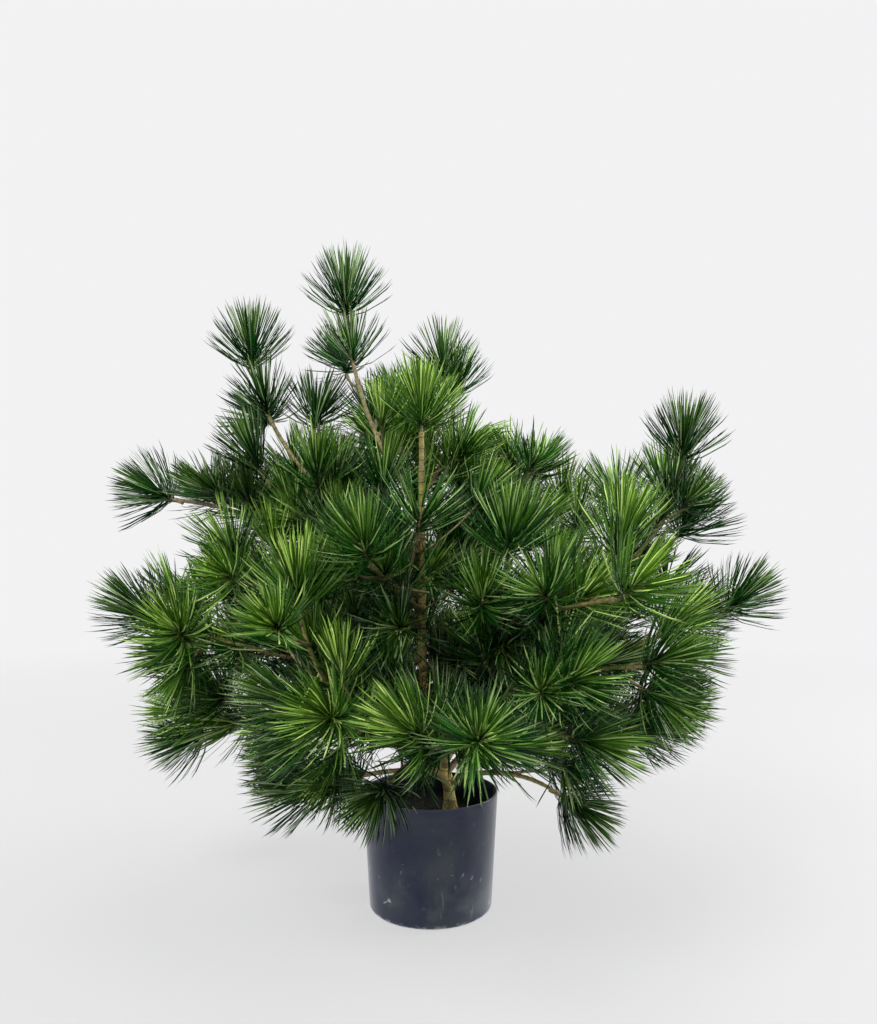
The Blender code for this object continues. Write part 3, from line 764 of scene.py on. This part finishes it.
def twigTubes(twigs, kind):
    # the twig's bend as a quadratic curve, then straight on into its tuft
    wood = twigWood[kind]
    start, bend, root, way, axis = [
        column[:, None] for column in gathered(twigs, "start", "bend", "root", "way", "axis")]
    t = np.linspace(0, 1, wood["rings"] - 2)[:, None]
    bent = (1 - t) ** 2 * start + 2 * t * (1 - t) * bend + t * t * root
    path = np.concatenate([bent, root + wood["sunk"] * np.array([[0.5], [1.0]]) * axis], axis=1)
    length = summed(np.linalg.norm(np.diff(path, axis=1), axis=2))
    across = unit(np.cross(way, axis + 0.01 * nearlyUp))[:, 0]
    base = np.linspace(wood["root"], wood["tip"], wood["rings"])[None]
    base = base + twigWood["collar"] * np.exp(-length / twigWood["collarFall"])
    phase = np.arange(len(twigs))[:, None] * 0.29
    relief = scars(length, turns(wood["sides"]), phase, share=twigWood["scarShare"])
    return tubes(path, across, base[..., None] + relief, length, phase[:, 0] % 1)


# Short cut stubs on the stem, by base, end and radius, and on some boughs, by bough, share, hand,
# swing, roll and length

stubs = {
    "onStem": [((-0.0085, -0.055, 0.424), (0.0115, -0.066, 0.461), 0.0042),
               ((0.001, -0.012, 0.236), (0.020, -0.026, 0.247), 0.0036),
               ((-0.002, -0.020, 0.256), (0.026, -0.036, 0.292), 0.0034)],
    "onBoughs": [
        ("front_left", 0.70, 1.0, 38, 35, 0.030), ("left_high", 0.55, -1.0, 50, 30, 0.018),
        ("right_high", 0.62, 1.0, 45, 40, 0.020), ("front_right", 0.60, -1.0, 42, 30, 0.020),
        ("top_left", 0.45, 1.0, 45, 0, 0.018), ("back_left", 0.55, 1.0, 45, 20, 0.022),
        ("back_right", 0.50, -1.0, 50, 30, 0.022), ("back", 0.45, 1.0, 40, 30, 0.024)],
    "lift": 0.3, "radius": 0.0026, "taper": (1.08, 0.92), "rings": 8, "sides": 12,
}


def stubTubes():
    # straight, with a slight taper and a flat cut end
    ends = list(stubs["onStem"])
    for name, s, hand, swing, roll, length in stubs["onBoughs"]:
        twig = twigOn(allLimbs[name], s, hand, swing, roll, length, stubs["lift"])
        ends.append((twig["start"], twig["start"] + length * twig["way"], stubs["radius"]))
    share = np.linspace(0, 1, stubs["rings"])
    path = np.stack([between((np.array(a), np.array(b)), share[:, None]) for a, b, _ in ends])
    way = path[:, -1] - path[:, 0]
    length = np.linalg.norm(way, axis=1)[:, None] * share
    width = np.array([w for _, _, w in ends])[:, None] * between(stubs["taper"], share)
    relief = scars(length, turns(stubs["sides"]), 0.5)
    return tubes(path, unit(np.cross(way, nearlyUp)), width[..., None] + relief, length,
                 0.1 * np.arange(len(ends)))


# Shoots: the finest twigs, one up the middle of each tuft, which the needles leave

shoots = {"below": 0.012, "length": 0.030, "radius": (0.0021, 0.0009), "knots": 0.12,
          "rings": 12, "sides": 7}


def shootTubes(tufts):
    # straight up the axis of the tuft, with a taper and low knots in three rows
    root, axis, scale = gathered(tufts, "root", "axis", "scale")
    s = np.linspace(0, 1, shoots["rings"])
    rise = between((-shoots["below"], shoots["length"] * scale[:, None]), s)
    path = root[:, None] + rise[..., None] * axis[:, None]
    width = between(shoots["radius"], s) * np.ones((len(tufts), 1))
    knots = np.sin(3 * turns(shoots["sides"]) + 900 * rise[..., None])
    radius = width[..., None] * (1 + shoots["knots"] * knots)
    return tubes(path, unit(np.cross(axis, nearlyUp)), radius, rise + 0.02,
                 np.arange(len(tufts)) * 0.13 % 1)


masses = [*crown, "leader"]
boughNodes = [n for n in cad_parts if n.startswith("bough_")]
massNodes = [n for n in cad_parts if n.startswith("needles_")]

buildTrunk()
boughBark = addPiece("boughBark", barkMaterial("bough", limbs["scarStep"]),
                     *limbTubes(list(allLimbs.values())))
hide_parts(*boughNodes)
twigBark = addPiece("twigBark", barkMaterial("twig", limbs["scarStep"]), *joined([
    twigTubes(allTwigs, "large"), twigTubes(fineTwigs, "fine"), stubTubes(),
    shootTubes(allTufts + fineTwigs)]))
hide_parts(*massNodes)
print("bark:", len(boughBark.data.polygons) + len(twigBark.data.polygons), "faces")

# Needles: flat strips in bundles of two or three that part near their tips

sprays = {
    "seed": 5,
    "bundles": 84, "whorlBundles": 52, "fineBundles": 50,
    "thirdShare": 0.45,  # share of bundles that have a third needle
    "shoot": 0.027, "off": 0.0010,
    "crowd": 0.85,  # power of a bundle's rank that gives its height on the shoot
    "firstTurn": 6.28, "turnScatter": 0.10,
    "angle": (76, 3),  # degrees, lowest and highest on the shoot
    "fall": 1.45, "scatter": 4.5, "leastAngle": 1.0,
    "curl": 0.53, "curlPower": 0.8, "droop": 0.02,
    "length": 0.0645, "spread": 0.09,
    "shortFrom": 0.86, "shortTop": 0.60,  # rank and length share of the innermost needles
    "halfWidth": 0.00070, "thickness": 0.0005,
    "gap": 0.9,  # between the needles of a bundle at their foot, in half-widths
    "part": 0.085, "partScatter": 0.5, "partPower": 1.6, "raise": 0.045, "shorter": 0.10,
    "twist": (28, 35),  # scatter of the turn of a strip at its foot, and more along it
    "stations": (0.0, 0.36, 0.82, 1.0), "profile": (0.82, 1.0, 0.90),
    # how much of a needle's shade follows its place in the tuft, and the powers that spread the
    # rest, which is chance, and the place
    "youth": 0.15, "shadePowers": (1.7, 1.4),
    # how far a tuft turns up to the light beyond its solid, growing between these heights
    "lift": 0.40, "liftFrom": 0.24, "liftTo": 0.42,
    "perPiece": 12200,
    "gloss": {"Specular IOR Level": 0.17, "Specular Tint": (0.36, 0.88, 0.23)},
}


def lifted(tuft):
    # more with the height of its root, from none to all of the lift, unless it has its own turn
    height = tuft["root"][2] - sprays["liftFrom"]
    share = np.clip(height / (sprays["liftTo"] - sprays["liftFrom"]), 0, 1)
    right, rise = tuft.get("turn") or (0.0, sprays["lift"] * share)
    return unit(tuft["axis"] + np.array([right, 0.0, rise]))


def growNeedles(tufts, bundles, rng):
    # each needle leaves the shoot at a wide angle low down and a narrow one high up, and curls
    # towards the shoot: angle = wide-to-narrow, shrinking along the needle by the curl
    lots = (len(tufts), bundles)
    root, scale = [column[:, None] for column in gathered(tufts, "root", "scale")]
    axis = np.array([lifted(t) for t in tufts])[:, None]
    side = unit(np.cross(axis, nearlyUp))
    over = np.cross(axis, side)
    rank = (np.arange(bundles) + 0.5) / bundles
    rise = sprays["shoot"] * scale * rank ** sprays["crowd"]
    turn = goldenAngle * np.arange(bundles) + rng.uniform(0, sprays["firstTurn"], (len(tufts), 1))
    turn = turn + rng.normal(0, sprays["turnScatter"], lots)
    radial = np.cos(turn)[..., None] * side + np.sin(turn)[..., None] * over
    sideways = np.cross(axis, radial)
    angle = between(sprays["angle"], rank ** sprays["fall"])
    angle = angle + rng.normal(0, sprays["scatter"], lots)
    angle = np.radians(np.maximum(angle, sprays["leastAngle"]))
    inner = np.maximum(rank - sprays["shortFrom"], 0) / (1 - sprays["shortFrom"])
    length = sprays["length"] * scale * between((1.0, sprays["shortTop"]), inner)
    length = length * (1 + sprays["spread"] * rng.uniform(-1, 1, lots))

    s = np.array(sprays["stations"])
    middle = 0.5 * (s[1:] + s[:-1])
    bent = angle[..., None] * (1 - (1 - sprays["curl"]) * middle ** sprays["curlPower"])
    run = np.diff(s) * length[..., None]
    forward, outward = summed(run * np.cos(bent)), summed(run * np.sin(bent))
    line = (root + rise[..., None] * axis)[:, :, None] + forward[..., None] * axis[:, :, None]
    line = line + (outward[..., None] + sprays["off"]) * radial[:, :, None]
    line = line - up * (sprays["droop"] * length[..., None] * s**2)[..., None]

    # needles of one bundle lie side by side and part towards their tips
    hand = np.array([-1.0, 1.0, 0.0])
    shape = (*lots, len(hand))
    opened = s ** sprays["partPower"]
    scatter = 1 + sprays["partScatter"] * rng.uniform(-1, 1, shape)
    apart = (sprays["part"] * scatter * length[..., None])[..., None] * opened
    apart = hand[..., None] * (sprays["gap"] * sprays["halfWidth"] + apart)
    raised = np.abs(hand) - 0.5 + rng.uniform(-0.5, 0.5, shape)
    raised = (sprays["raise"] * raised * length[..., None])[..., None] * opened
    shorter = 1 - sprays["shorter"] * rng.uniform(0, 1, shape)
    start = line[:, :, None, :1]
    path = start + (line[:, :, None] - start) * shorter[..., None, None]
    path = path + apart[..., None] * sideways[:, :, None, None]
    path = path + raised[..., None] * radial[:, :, None, None]
    keep = np.ones(shape, bool)
    keep[..., 2] = rng.random(lots) < sprays["thirdShare"]

    flat = np.broadcast_to(sideways[:, :, None, None], path.shape)
    foot, more = [np.radians(rng.normal(0, most, shape))[..., None] for most in sprays["twist"]]
    owner = np.array([masses.index(t["mass"]) for t in tufts])[:, None, None]
    owner = np.broadcast_to(owner, shape)
    chance, youth = sprays["shadePowers"]
    shade = between((rng.random(shape) ** chance, rank[:, None] ** youth), sprays["youth"])
    core = np.broadcast_to(rank[:, None], shape)
    return [column[keep] for column in (path, flat, foot + more * s, shade, core, owner)]


def clearOfPot(path):
    # outside the pot's mouth, and past its own foot outside the stem's bark
    x, y, z = np.moveaxis(path, -1, 0)
    gap = clear["ofPot"]
    inside = (np.hypot(x, y) < pot["rimRadius"] + gap) & (z < pot["height"] + gap)
    apart = np.linalg.norm(path - trunkPoint(z), axis=-1)
    near = (apart < trunkRadius(z) + clear["ofBark"]) & (z > stem["foot"])
    near &= z < stem["tip"] - clear["belowTip"]
    near[:, 0] = False
    return ~(inside | near).any(axis=1)


def clearView(path):
    # looks along each needle in small steps
    share = np.linspace(0, 1, 4, endpoint=False)[:, None]
    steps = between((path[:, :-1, None], path[:, 1:, None]), share)
    steps = np.concatenate([steps.reshape(len(path), -1, 3), path[:, -1:]], axis=1)
    return ~(inOpening(steps) | hidesWood(steps)).any(axis=1)


def needleMesh(path, flat, twist, shade, core):
    # three points at each station, left edge, right edge and a raised middle, then the tip
    count, rings = len(path), path.shape[1] - 1
    tangent = unit(np.gradient(path, axis=1))
    flat = unit(flat - (flat * tangent).sum(-1, keepdims=True) * tangent)
    square = np.cross(tangent, flat)
    wide = np.cos(twist)[..., None] * flat + np.sin(twist)[..., None] * square
    thick = np.cross(tangent, wide)[:, :-1]
    wide, body = wide[:, :-1], path[:, :-1]
    profile = np.array(sprays["profile"])[:, None]
    half, ridge = sprays["halfWidth"] * profile, sprays["thickness"] * profile
    skin = np.stack([body - half * wide, body + half * wide, body + ridge * thick], axis=2)
    verts = np.concatenate([skin.reshape(count, -1, 3), path[:, -1:]], axis=1)
    tris = np.concatenate([[[2, 1, 0]], fan(3 * (rings - 1), 3, 3 * rings)])
    faces = [repeated(one, count, 3 * rings + 1) for one in (ringQuads(rings, 3), tris)]
    s = np.array(sprays["stations"])
    v = np.append(np.repeat(s[:-1], 3), s[-1])
    maps = [np.stack(np.broadcast_arrays(u[:, None], v), axis=-1).reshape(-1, 2)
            for u in (shade, core)]
    return verts.reshape(-1, 3), *faces, *maps


# Each green runs from a dark root, painted shade where the needles crowd at the heart of a tuft, to
# its body colour and a paler, greyer tip that paints the glints and the backlit grey of needle tips

# Of each green, the palest colour is a painted highlight for the brightest needles, and the young
# one is that of the inner needles, younger and also painted lighter as if lit from above
greens = {
    "y": {"slot": "needles_light", "root": (0.005, 0.026, 0.004), "body": (0.032, 0.120, 0.009),
          "tip": (0.090, 0.150, 0.045), "patch": (0.064, 0.158, 0.013),
          "paintedLight": (0.400, 0.560, 0.165), "youngAndLit": (0.150, 0.270, 0.018)},
    "g": {"slot": "needles_green", "root": (0.002, 0.015, 0.003), "body": (0.008, 0.071, 0.006),
          "tip": (0.052, 0.078, 0.040), "patch": (0.021, 0.100, 0.009),
          "paintedLight": (0.300, 0.445, 0.150), "youngAndLit": (0.105, 0.212, 0.016)},
    "b": {"slot": "needles_dark", "root": (0.001, 0.009, 0.002), "body": (0.004, 0.045, 0.006),
          "tip": (0.040, 0.045, 0.040), "patch": (0.011, 0.066, 0.008),
          "paintedLight": (0.240, 0.340, 0.165), "youngAndLit": (0.070, 0.140, 0.012)},
}


def needleMaterial(name, tint):
    mat, shader, place = newMaterial(name, sprays["gloss"])
    shade, along = list(ownUv(place, "along"))[:2]
    # painted shade at the root, painted light at the tip
    colour = rampOf(along, [(0.0, tint["root"]), (0.28, tint["body"]), (0.52, tint["body"]),
                            (0.92, tint["tip"])])
    patch = rangeOf(noiseOf(place, 16.0, 2.0), 0.40, 0.66)
    body = rangeOf(along, 1.0, 0.7)
    colour = mixOf(times(patch, times(body, 0.75)), colour, tint["patch"])
    # the inner needles of a tuft are younger and yellower, and also painted lighter as if lit from
    # above
    core = ownUv(place, "core")["X"]
    inner = times(rangeOf(core, 0.45, 0.95), rangeOf(along, 0.0, 0.35))
    colour = mixOf(times(inner, 0.75), colour, tint["youngAndLit"])
    # painted highlight: the palest needles of a tuft stand out from the rest, in place of the
    # glints of light on glossy needles
    paintedHighlight = times(rangeOf(shade, 0.60, 0.92), rangeOf(along, 1.0, 0.75, 0.3, 1.0))
    colour = mixOf(times(paintedHighlight, 0.7), colour, tint["paintedLight"])
    streak = noiseOf(place, 700.0, 2.0)
    value = times(rangeOf(shade, 0.0, 0.7, 0.12, 1.64), rangeOf(streak, 0.3, 0.7, 0.88, 1.12))
    feed(shader, {
        "Base Color": shifted(colour, Hue=rangeOf(shade, 0.1, 0.9, 0.514, 0.484), Value=value),
        "Roughness": rangeOf(streak, 0.3, 0.7, 0.24, 0.36),
        "Normal": bumpOf(streak, 0.0002, 0.4)})
    return mat


# Pot: a turned plastic shell, walked from the underside round the rim to the inside

pot = {
    "height": 0.1294, "rimRadius": 0.075, "footRadius": 0.068,
    "wall": 0.0018, "floor": 0.0025, "edge": 0.005, "lip": 0.0007,
    "sides": 160, "wobble": 0.00018,
    "gloss": {"Specular IOR Level": 0.50, "Specular Tint": (0.78, 0.86, 1.0),
              "Sheen Weight": 0.80, "Sheen Roughness": 0.30, "Sheen Tint": (0.90, 0.92, 1.0)},
    "plastic": [(0.38, (0.002, 0.002, 0.022)), (0.62, (0.018, 0.023, 0.031))],
    "film": (0.085, 0.090, 0.090), "scuff": (0.22, 0.23, 0.24), "dust": (0.40, 0.41, 0.41),
    # the rim colour is a painted highlight along the lip; rubbed is the worn bottom edge
    "rubbed": (0.30, 0.31, 0.31), "rim": (0.10, 0.11, 0.13),
}


def potRadius(z):
    return between((pot["footRadius"], pot["rimRadius"]), np.asarray(z) / pot["height"])


def arc(r, z, radius, first, last, steps):
    # a round stretch of the profile about the centre r, z
    a = np.radians(np.linspace(first, last, steps))
    return np.stack([r + radius * np.cos(a), z + radius * np.sin(a)], axis=-1)


def potShape():
    # the profile's radius and height carried round the axis, a little out of round at the rim
    edge, lip, rim = pot["edge"], pot["lip"], pot["rimRadius"]
    foot = float(potRadius(edge)) - edge
    top = pot["height"] - lip
    wall = np.linspace(edge, top, 26)[1:-1]
    inside = wall[::-1]
    profile = np.concatenate([
        np.stack([np.linspace(0.02, foot - 0.001, 4), np.zeros(4)], axis=-1),
        arc(foot, edge, edge, -90, 0, 10),
        np.stack([potRadius(wall), wall], axis=-1),
        arc(rim - lip, top, lip, 0, 90, 5),
        arc(rim - pot["wall"] + lip, top, lip, 90, 180, 5),
        np.stack([potRadius(inside) - pot["wall"], inside], axis=-1),
        [[foot, pot["floor"]]],
    ])
    r, z = profile[:, :1], profile[:, 1:]
    r = r + pot["wobble"] * np.sin(2 * turns(pot["sides"]) + 0.7) * (z / pot["height"])
    return closedForm(around(r, z, pot["sides"]), [[0, 0, 0], [0, 0, pot["floor"]]])


def buildPot():
    mat, shader, place = newMaterial("pot plastic", pot["gloss"])
    height = axesOf(place)["Z"]
    cloud = noiseOf(place, 13.0, 4.0, 0.6, 0.6)
    grain = noiseOf(place, 900.0, 2.0)
    speck = noiseOf(place, 150.0, 2.0, 0.5, 0.4)
    drawnOut = addNode(place, "Mapping", {"Vector": place, "Scale": (330.0, 330.0, 15.0)})
    scratch = noiseOf(drawnOut.outputs["Vector"], 1.0, 2.0, 0.5, 0.6)
    low = rangeOf(height, 0.085, 0.020)
    # a film of dust that gathers in clouds, thin scratches and specks within them
    gather = rangeOf(noiseOf(place, 23.0, 3.0, 0.6, 0.3), 0.50, 0.66)
    film = times(gather, plus(times(low, 0.25), 0.10))
    scuff = times(rangeOf(scratch, 0.66, 0.74), times(low, gather))
    chip = rangeOf(noiseOf(place, 66.0, 1.0, 0.5, 0.8), 0.725, 0.745)
    dust = times(mathOf("MAXIMUM", chip, rangeOf(speck, 0.68, 0.73)), plus(gather, 0.06))
    # rubbed pale along the bottom edge, and a painted highlight along the rim
    rubbed = times(rangeOf(height, 0.0060, 0.0020), rangeOf(speck, 0.47, 0.60))
    # painted highlight: a paler line of light along the rim
    rim = rangeOf(height, pot["height"] - 0.0014, pot["height"] - 0.0002)
    colour = rampOf(cloud, pot["plastic"])
    for share, tone in ((film, "film"), (times(scuff, 0.55), "scuff"), (times(dust, 0.75), "dust"),
                        (times(rubbed, 0.6), "rubbed"), (times(rim, 0.5), "rim")):
        colour = mixOf(share, colour, pot[tone])
    feed(shader, {
        "Base Color": colour,
        "Roughness": plus(rangeOf(cloud, 0.3, 0.7, 0.26, 0.38), times(scuff, 0.2)),
        "Normal": bumpOf(cloud, 0.0016, 0.35, Normal=bumpOf(grain, 0.00012, 0.5))})
    piece = addPiece("potShell", mat, *potShape())
    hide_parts("pot")


# Filling: dark, set and lumpy, sloping a little from the stem to the wall

filling = {
    "top": 0.108, "low": 0.012, "topGap": 0.0004, "lowGap": 0.0008,
    "drop": 0.0025, "flat": 0.042, "lump": 0.0011, "rings": 70, "sides": 150,
    "ramp": [(0.32, (0.004, 0.006, 0.004)), (0.60, (0.016, 0.019, 0.013)),
             (0.80, (0.050, 0.050, 0.036))],
}


def buildFilling():
    top, low = filling["top"], filling["low"]
    edge = float(potRadius(top)) - pot["wall"] - filling["topGap"]
    out = (np.linspace(0, 1, filling["rings"] + 1)[1:] * edge)[:, None]
    slope = np.clip((out - filling["flat"]) / (edge - filling["flat"]), 0, 1)
    skin = around(out, top - filling["drop"] * slope, filling["sides"])
    x, y = skin[..., 0], skin[..., 1]
    lumps = (np.sin(310 * x + 3 * np.sin(170 * y)) * np.sin(290 * y + 2.6 * np.sin(210 * x))
             + 0.6 * np.sin(640 * x - 350 * y) * np.sin(520 * y + 410 * x))
    skin[..., 2] += filling["lump"] * (lumps - 1.0) * 0.5
    foot = around(float(potRadius(low)) - pot["wall"] - filling["lowGap"], low, filling["sides"])
    form = closedForm(np.concatenate([foot[None], skin[::-1]]), [[0, 0, low], [0, 0, top]])
    mat, shader, place = newMaterial("set filling", {"Roughness": 0.9})
    crumb = noiseOf(place, 260.0, 5.0, 0.65)
    feed(shader, {"Base Color": rampOf(crumb, filling["ramp"]),
                  "Normal": bumpOf(crumb, 0.0015, 0.8)})
    piece = addPiece("fillingTop", mat, *form)
    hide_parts("fill")


def buildNeedles():
    # all the needles of a green, less those in the way, dealt out to pieces of a like size
    rng = np.random.default_rng(sprays["seed"])
    kinds = ((allTufts, "bundles"), (whorls, "whorlBundles"), (fineTwigs, "fineBundles"))
    total = 0
    for letter, tint in greens.items():
        short = tint["slot"].split("_")[1]
        mat = needleMaterial("needles " + short, tint)
        lots = [growNeedles([t for t in tufts if t["tint"] == letter], sprays[key], rng)
                for tufts, key in kinds]
        lot = [np.concatenate(column) for column in zip(*lots)]
        keep = clearView(lot[0]) | (rng.random(len(lot[0])) < clear["crossing"])
        keep &= clearOfPot(lot[0])
        lot = [column[keep] for column in lot]
        count = len(lot[0])
        cuts = np.array_split(np.arange(count), math.ceil(count / sprays["perPiece"]))
        for i, rows in enumerate(cuts):
            *strips, owner = [column[rows] for column in lot]
            name = "needles" + short.capitalize() + str(i + 1)
            piece = addPiece(name, mat, *needleMesh(*strips), smooth=False)
            held = sorted({"needles_" + masses[k] for k in np.unique(owner)})
            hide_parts(*held)
        total += count
        print("needles", short + ":", count, "in", len(cuts), "pieces")
    print("needles:", total)


buildPot()
buildFilling()
buildNeedles()

# Floor, light and camera

studio = {
    "floorRadius": (0.05, 5.0),
    "floorRings": 24,
    "floorSides": 96,
    "floorColour": (0.32, 0.32, 0.32),
    "floorFade": (0.3, 2.3, 0.62, 1.0),  # from and to, and how clear it is at each
    "air": (0.890, 0.888, 0.900),
    "airStrength": 1.0,
    "lamps": {  # place, width and power
        "key": ((-1.1, -1.7, 2.3), 1.5, 88.0),
        "top": ((0.3, -0.1, 2.6), 1.6, 16.0),
        "left": ((-1.7, 0.25, 0.45), 0.8, 7.0),
        "right": ((2.33, 0.48, 0.90), 1.6, 104.0),
    },
    "aim": (0.0, 0.0, 0.32),
}


def buildFloor():
    # flat rings, each further out than the last by the same share, and a fan in the middle
    rings, sides = studio["floorRings"], studio["floorSides"]
    skin = around(np.geomspace(*studio["floorRadius"], rings)[:, None], 0, sides)
    verts = np.concatenate([skin.reshape(-1, 3), [[0, 0, 0]]])
    mat, shader, place = newMaterial("studio floor", {
        "Base Color": studio["floorColour"], "Roughness": 0.75})
    away = addNode(place, "VectorMath", {0: place}, operation="LENGTH").outputs["Value"]
    sheer = addNode(place, "BsdfTransparent", {})
    mix = addNode(place, "MixShader", {
        0: rangeOf(away, *studio["floorFade"]), 1: shader.outputs[0], 2: sheer.outputs[0]})
    feed(mat.node_tree.nodes["Material Output"], {"Surface": mix.outputs[0]})
    addMesh("studioFloor", mat, verts, ringQuads(rings, sides)[:, ::-1],
                     fan(0, sides, rings * sides), smooth=False)


def buildLight():
    # an even air, and round lamps that all face the aim
    world = bpy.data.worlds.new("studio air")
    world.use_nodes = True
    feed(world.node_tree.nodes["Background"], {
        "Color": studio["air"], "Strength": studio["airStrength"]})
    bpy.context.scene.world = world
    for name, (at, width, power) in studio["lamps"].items():
        lamp = bpy.data.lights.new(name + "Light", "AREA")
        lamp.shape = "DISK"
        lamp.size = width
        lamp.energy = power
        holder = addObject(name + "Light", lamp)
        holder.location = at
        way = unit(np.array(studio["aim"]) - np.array(at))
        holder.rotation_euler = (math.acos(-way[2]), 0.0, math.atan2(way[1], way[0]) - math.pi / 2)


def buildCamera():
    lens = bpy.data.cameras.new("viewer")
    lens.lens = camera["lens"]
    lens.sensor_width = camera["sensor"]
    viewer = addObject("viewer", lens)
    viewer.location = camera["at"]
    viewer.rotation_euler = (math.radians(90), 0.0, 0.0)
    bpy.context.scene.camera = viewer


buildFloor()
buildLight()
buildCamera()
bpy.context.scene.view_settings.view_transform = "Standard"
print("studio: floor,", len(studio["lamps"]), "lights, camera")
